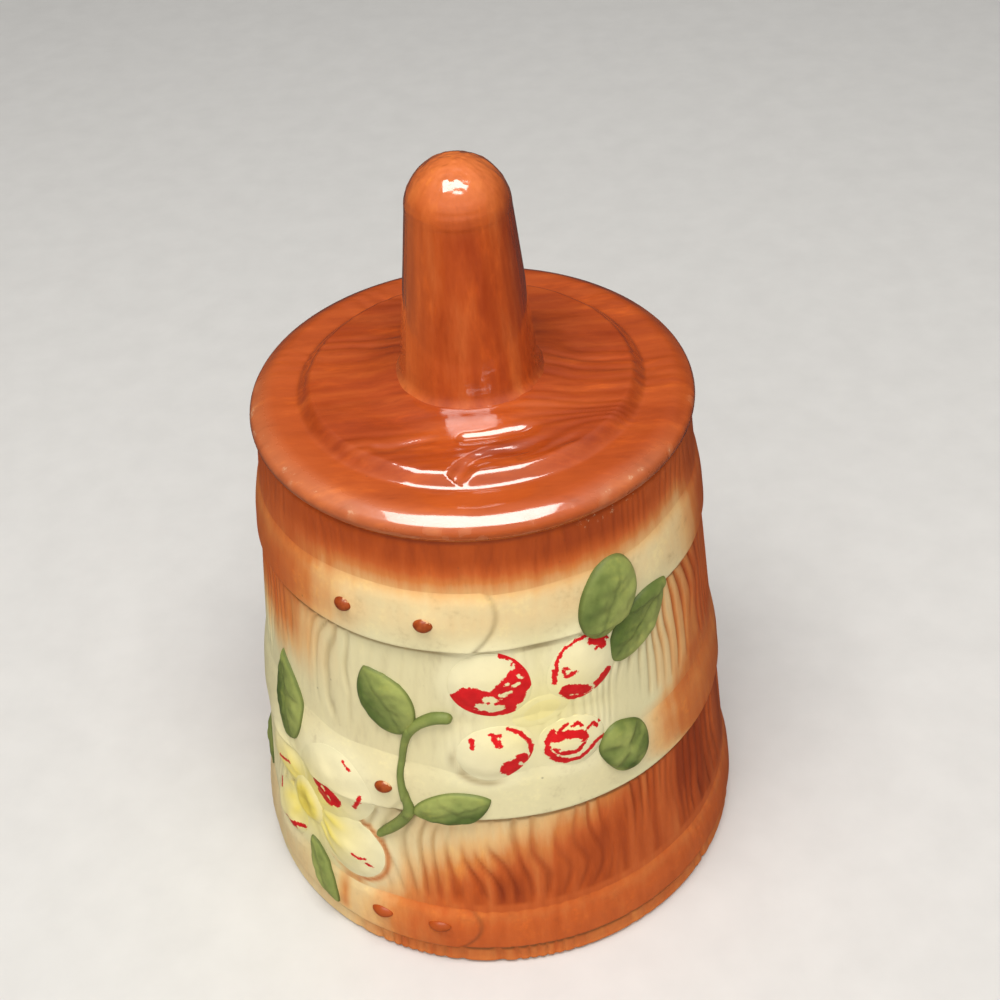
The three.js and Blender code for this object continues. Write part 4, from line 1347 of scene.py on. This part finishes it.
def worn_paint_group():
    """Jagged mask of paint that has flaked: a soft bias goes in, a crisp mask comes out."""
    tree, bench, source, sink = node_group(
        "worn_paint",
        {"Bias": "value", "Flake": "value"},
        {"Mask": "value"})
    ragged = bench.swing(bench.noise(bench.stretched(), 640.0, 6.0, 0.75), source["Flake"])
    bench.join(bench.ramp(bench.math("ADD", source["Bias"], ragged), 0.47, 0.53), sink["Mask"])
    return tree


CREAM_TO_BROWN = [(0.0, "#E2D7A8"), (0.25, "#E6B678"), (0.5, "#D57F3D"), (0.7, "#C65D22"),
                  (0.85, "#B44C12"), (1.0, "#98390A")]


def airbrush_group():
    """Cream glaze with sprayed brown and upright streaks inside the soft edge, darkened by painted shade from
    the Hollow input in grooves, creases and along the hoops' edges.
    """
    tree, bench, source, sink = node_group(
        "airbrush",
        {"Brown": "value", "Hollow": "value", "Yellow": "value", "Pale": "value", "Streaks": "value"},
        {"Color": "colour"})
    streaks = bench.noise(bench.stretched((1.0, 1.0, 0.1)), 300.0, 4.0, 0.6)
    swing = bench.swing(streaks, source["Streaks"])
    soft = bench.math("MULTIPLY", source["Brown"], bench.math("SUBTRACT", 1.12, source["Brown"]))
    streaked = bench.math("MULTIPLY", swing, bench.math("MULTIPLY", soft, 4.0))
    paint = bench.colours(bench.math("ADD", source["Brown"], streaked), CREAM_TO_BROWN)
    light = bench.mix(bench.math("MULTIPLY", source["Pale"], 0.6), paint, srgb("#F0E7BE"))
    warm = bench.mix(bench.math("MULTIPLY", source["Yellow"], 0.8), light, srgb("#F0DE6E"))
    # Painted shade: a darker cream or brown, laid on where the Hollow input says
    dark = bench.mix(source["Brown"], srgb("#8C703F"), srgb("#742B0C"))
    bench.join(bench.mix(bench.math("MULTIPLY", source["Hollow"], 0.85), warm, dark), sink["Color"])
    return tree


def glaze_material(name, paint, skin, stretch, mottle, gloss, pinholes, bump, extras, dulled_by=None):
    """A fired glaze: paint(bench) gives its colour, the skin group its mottling, gloss and orange peel."""
    material = bpy.data.materials.new(name)
    material.use_nodes = True
    bench = NodeBench(material.node_tree)
    shader = material.node_tree.nodes["Principled BSDF"]
    settings = {"Color": paint(bench), "Stretch": stretch, "Mottle": mottle, "Gloss": gloss}
    settings["Pinholes"] = pinholes
    coat = bench.add("Group", node_tree=skin)
    for socket, value in settings.items():
        bench.join(value, coat.inputs[socket])
    relief = bench.add("Bump", {"Height": coat.outputs["Height"], "Strength": 1.0, "Distance": bump * MM})
    bench.join(coat.outputs["Color"], shader.inputs["Base Color"])
    rough = coat.outputs["Roughness"]
    if dulled_by:
        rough = bench.math("ADD", rough, bench.mark(dulled_by, 0.35))
    bench.join(rough, shader.inputs["Roughness"])
    bench.join(relief.outputs["Normal"], shader.inputs["Normal"])
    for socket, value in extras.items():
        shader.inputs[socket].default_value = value
    return material


def masked(bench, group, bias, flake):
    """The worn paint mask for a bias kept on the mesh."""
    made = bench.add("Group", node_tree=group)
    bench.join(bias, made.inputs["Bias"])
    bench.join(flake, made.inputs["Flake"])
    return made.outputs["Mask"]


def make_glazes():
    """All glazes of the jar and lid, by the piece that wears them."""
    skin, worn, spray = fired_skin_group(), worn_paint_group(), airbrush_group()

    def sprayed(bench, streaks):
        made = bench.add("Group", node_tree=spray)
        bench.join(streaks, made.inputs["Streaks"])
        for socket in ("Brown", "Hollow", "Yellow", "Pale"):
            bench.join(bench.mark(socket.lower()), made.inputs[socket])
        return made.outputs["Color"]

    def wall(bench):
        chipped = masked(bench, worn, bench.mark("chips", 0.36), 1.15)
        glazed = bench.mix(bench.math("MULTIPLY", chipped, 0.7), sprayed(bench, 0.3), srgb("#E2BE92"))
        return bench.mix(bench.mark("bare_clay"), glazed, srgb("#D9C3A0"))

    def hoop_spray(bench):
        return sprayed(bench, 0.2)

    def leaf_paint(bench):
        drawn = bench.noise(bench.stretched(), 150.0, 4.0)
        # The shade mark gives each leaf's tone and its painted lit and shaded halves; the hollow mark is
        # painted shade
        tone = bench.weighed(bench.mark("shade"), 0.5, drawn, 0.5)
        green = bench.colours(tone, [(0.22, "#586A30"), (0.5, "#848E4A"), (0.78, "#A3A95C")])
        green = bench.mix(bench.mark("hollow"), green, srgb("#505E2C"))
        rubbed = masked(bench, worn, bench.mark("worn", 0.36), 0.6)
        return bench.mix(bench.math("MULTIPLY", rubbed, 0.6), green, srgb("#B9BC82"))

    def petal_colour(bench):
        cream = bench.mix(bench.mark("yellow"), srgb("#EDE2B7"), srgb("#F6E062"))
        edge = bench.mix(bench.mark("yellow", 0.8), srgb("#EAE0B5"), srgb("#F0DE6E"))
        cream = bench.mix(bench.mark("hollow"), cream, edge)
        drawn = bench.noise(bench.stretched(), 300.0)
        red = bench.colours(drawn, [(0.3, "#CC060E"), (0.7, "#E2141A")])
        return bench.mix(masked(bench, worn, bench.mark("red"), 1.25), cream, red)

    def yellow_paint(bench):
        drawn = bench.noise(bench.stretched(), 200.0)
        yellow = bench.colours(drawn, [(0.3, "#F6DC50"), (0.7, "#FDEB78")])
        yellow = bench.mix(bench.mark("worn"), yellow, srgb("#EDE0A0"))
        # The hollow mark is painted shade in the heart's dent
        return bench.mix(bench.mark("hollow", 0.75), yellow, srgb("#BFA637"))

    def rivet_paint(bench):
        drawn = bench.noise(bench.stretched(), 500.0)
        brown = bench.colours(drawn, [(0.3, "#83330E"), (0.7, "#A64E1E")])
        brown = bench.mix(bench.mark("sprayed"), brown, srgb("#AE4E1A"))
        # Painted shade along the lower edge, and a painted highlight along the upper edge
        brown = bench.mix(bench.mark("hollow", 0.7), brown, srgb("#5A2309"))
        painted_highlight = bench.math("MULTIPLY", masked(bench, worn, bench.mark("worn"), 0.8), 0.75)
        return bench.mix(painted_highlight, brown, srgb("#E2BC8A"))

    def lid_brown(bench, stretch, tones, tint):
        drawn = bench.noise(bench.stretched(stretch), 170.0, 5.0)
        brown = bench.colours(drawn, list(zip((0.28, 0.5, 0.72), tones)))
        # The hollow mark darkens the grain grooves; on the handle it is also painted shade on the right side
        brown = bench.mix(bench.mark("hollow", 0.4), brown, srgb("#86290A"))
        # The roll mark gives the lid's roll its lighter orange; on the handle it is painted light on the left
        # side and the crown
        brown = bench.mix(bench.mark("roll", 0.6), brown, srgb(tint))
        speckled = masked(bench, worn, bench.mark("worn", 0.5), 1.2)
        brown = bench.mix(bench.mark("worn", 0.45), brown, srgb("#CF8A5C"))
        brown = bench.mix(bench.math("MULTIPLY", speckled, 0.4), brown, srgb("#E0B48C"))
        return bench.mix(bench.mark("inside", 0.85), brown, srgb("#E2D2A6"))

    def lid_paint(bench):
        return lid_brown(bench, (0.16, 1.0, 1.0), ("#98380C", "#AB4512", "#BF561E"), "#C45A22")

    def handle_paint(bench):
        # On the handle the tint is painted light on the left side and the crown
        return lid_brown(bench, (1.0, 1.0, 0.14), ("#A63F0F", "#BD5119", "#D26A2E"), "#DE7A3C")

    satin = {"IOR": 1.5, "Specular IOR Level": 0.28}
    glossy = {"IOR": 1.55, "Coat Weight": 1.0, "Coat Roughness": 0.06, "Coat IOR": 1.6}
    upright = (1.0, 1.0, 0.3)
    # After the skin: stretch and strength of the mottling, roughness, pinholes and depth of the orange peel
    return {
        "wall": glaze_material("cream_and_brown_wall", wall, skin, upright, 0.6, 0.52, 0.35, 0.10, satin),
        "hoop": glaze_material("cream_and_brown_hoop", hoop_spray, skin, EVEN, 0.7, 0.5, 0.4, 0.08, satin),
        "leaf": glaze_material("olive_leaf", leaf_paint, skin, EVEN, 0.7, 0.5, 0.4, 0.12, satin),
        "petal": glaze_material("worn_red_petal", petal_colour, skin, EVEN, 0.4, 0.42, 0.2, 0.05, satin),
        "heart": glaze_material("blossom_yellow", yellow_paint, skin, EVEN, 0.3, 0.46, 0.1, 0.08, satin),
        "rivet": glaze_material("rivet_brown", rivet_paint, skin, EVEN, 0.5, 0.36, 0.2, 0.08, satin),
        "lid": glaze_material(
            "glossy_lid_brown", lid_paint, skin, (0.3, 1.0, 0.6), 0.85, 0.15, 0.2, 0.06, glossy, "worn"),
        "handle": glaze_material(
            "glossy_handle_brown", handle_paint, skin, upright, 0.85, 0.16, 0.2, 0.17, glossy),
    }


# Camera, fitted to the outlines of the lid, wall and foot
CAMERA_PLACE = (0.0, -0.3607, 0.4232)
CAMERA_PITCH = 40.03
CAMERA_YAW = 0.93
CAMERA_ROLL = -3.75
CAMERA_FOCUS = 1598.0 / 1000.0
SENSOR = 36.0

# Studio, in metres. Lamps: place, aim, size, power and colour
FLOOR_RADIUS = 1.9
FLOOR_SIDES = 96
WORLD_STRENGTH = 0.55
WORLD_BRIGHT_SIDE = (0.0, -0.45, 0.89)
LAMPS = {
    "overhead_softbox": ((-0.05, -0.3, 1.22), (0.0, 0.0, 0.16), (1.0, 0.5), 14.0, (1.0, 0.98, 0.95)),
    "front_fill": ((-0.4, -2.2, 1.05), (0.0, 0.0, 0.07), (3.0, 2.2), 22.5, (1.0, 0.99, 0.97)),
}


def add_camera():
    """The camera at the photograph's viewing angle."""
    pitch, yaw, roll = np.radians((CAMERA_PITCH, CAMERA_YAW, CAMERA_ROLL))
    forward = np.array([np.sin(yaw) * np.cos(pitch), np.cos(yaw) * np.cos(pitch), -np.sin(pitch)])
    level = np.array([np.cos(yaw), -np.sin(yaw), 0.0])
    upright = np.cross(level, forward)
    right = np.cos(roll) * level + np.sin(roll) * upright
    up = -np.sin(roll) * level + np.cos(roll) * upright
    lens = bpy.data.cameras.new("camera")
    lens.sensor_width = SENSOR
    lens.lens = CAMERA_FOCUS * SENSOR
    lens.clip_start = 0.01
    camera = bpy.data.objects.new("camera", lens)
    rotation = Matrix([[right[k], up[k], -forward[k]] for k in range(3)]).to_4x4()
    camera.matrix_world = Matrix.Translation(CAMERA_PLACE) @ rotation
    bpy.context.scene.collection.objects.link(camera)
    bpy.context.scene.camera = camera


def add_lamp(name, place, aim, size, power, colour):
    """A soft rectangular lamp that faces the aim."""
    light = bpy.data.lights.new(name, "AREA")
    light.shape = "RECTANGLE"
    light.size, light.size_y = size
    light.energy = power
    light.color = colour
    lamp = bpy.data.objects.new(name, light)
    lamp.location = place
    lamp.rotation_euler = (Vector(aim) - Vector(place)).to_track_quat("-Z", "Y").to_euler()
    bpy.context.scene.collection.objects.link(lamp)
    return lamp


def add_studio():
    """Pale floor, even world light and two soft lamps."""
    floor_mesh = bpy.data.meshes.new("floor")
    turn = full_turn(FLOOR_SIDES)
    ring = FLOOR_RADIUS * np.stack([np.cos(turn), np.sin(turn), 0.0 * turn], -1)
    floor_mesh.from_pydata(ring.tolist(), [], [list(range(len(ring)))])
    floor = bpy.data.objects.new("floor", floor_mesh)
    bpy.context.scene.collection.objects.link(floor)
    matte = bpy.data.materials.new("pale_floor")
    matte.use_nodes = True
    bench = NodeBench(matte.node_tree)
    shader = matte.node_tree.nodes["Principled BSDF"]
    drawn = bench.noise(bench.stretched(), 60.0)
    tone = bench.colours(drawn, [(0.3, "#D9D7D3"), (0.7, "#DEDCD8")])
    bench.join(tone, shader.inputs["Base Color"])
    shader.inputs["Roughness"].default_value = 0.9
    floor_mesh.materials.append(matte)
    floor.visible_glossy = False

    world = bpy.data.worlds.new("studio")
    world.use_nodes = True
    bench = NodeBench(world.node_tree)
    facing = bench.add("VectorMath", operation="DOT_PRODUCT")
    bench.join(bench.add("TexCoord").outputs["Generated"], facing.inputs[0])
    bench.join(WORLD_BRIGHT_SIDE, facing.inputs[1])
    greys = [(0.0, "#4C4D52"), (0.4, "#85868A"), (0.95, "#E0E2E4")]
    room = bench.colours(facing.outputs["Value"], greys)
    seen = bench.add("LightPath").outputs["Is Camera Ray"]
    background = world.node_tree.nodes["Background"]
    bench.join(bench.mix(seen, room, srgb("#FFFFFF")), background.inputs["Color"])
    background.inputs["Strength"].default_value = WORLD_STRENGTH
    bpy.context.scene.world = world
    add_lamp("overhead_softbox", *LAMPS["overhead_softbox"])
    fill = add_lamp("front_fill", *LAMPS["front_fill"])
    fill.visible_glossy = False


def main():
    """Makes every piece of the jar and lid, then the camera and the studio."""
    glazes = make_glazes()
    jar_wall(glazes["wall"])
    for name in HOOPS:
        hoop(name, glazes["hoop"])
    for node in RIVETS:
        rivet(node, glazes["rivet"])
    for seed, node in enumerate(PETALS):
        petal(node, seed, glazes["petal"])
    for flower in HEARTS:
        blossom_heart(flower, glazes["heart"])
    for seed, node in enumerate(LEAVES):
        leaf(node, seed, glazes["leaf"])
    round_bud(glazes["leaf"])
    sprig_stem(glazes["leaf"])
    lid_plate(glazes["lid"])
    lid_locating_ring(glazes["lid"])
    lid_handle(glazes["handle"])
    add_camera()
    add_studio()
    bpy.context.scene.view_settings.view_transform = "Standard"


main()
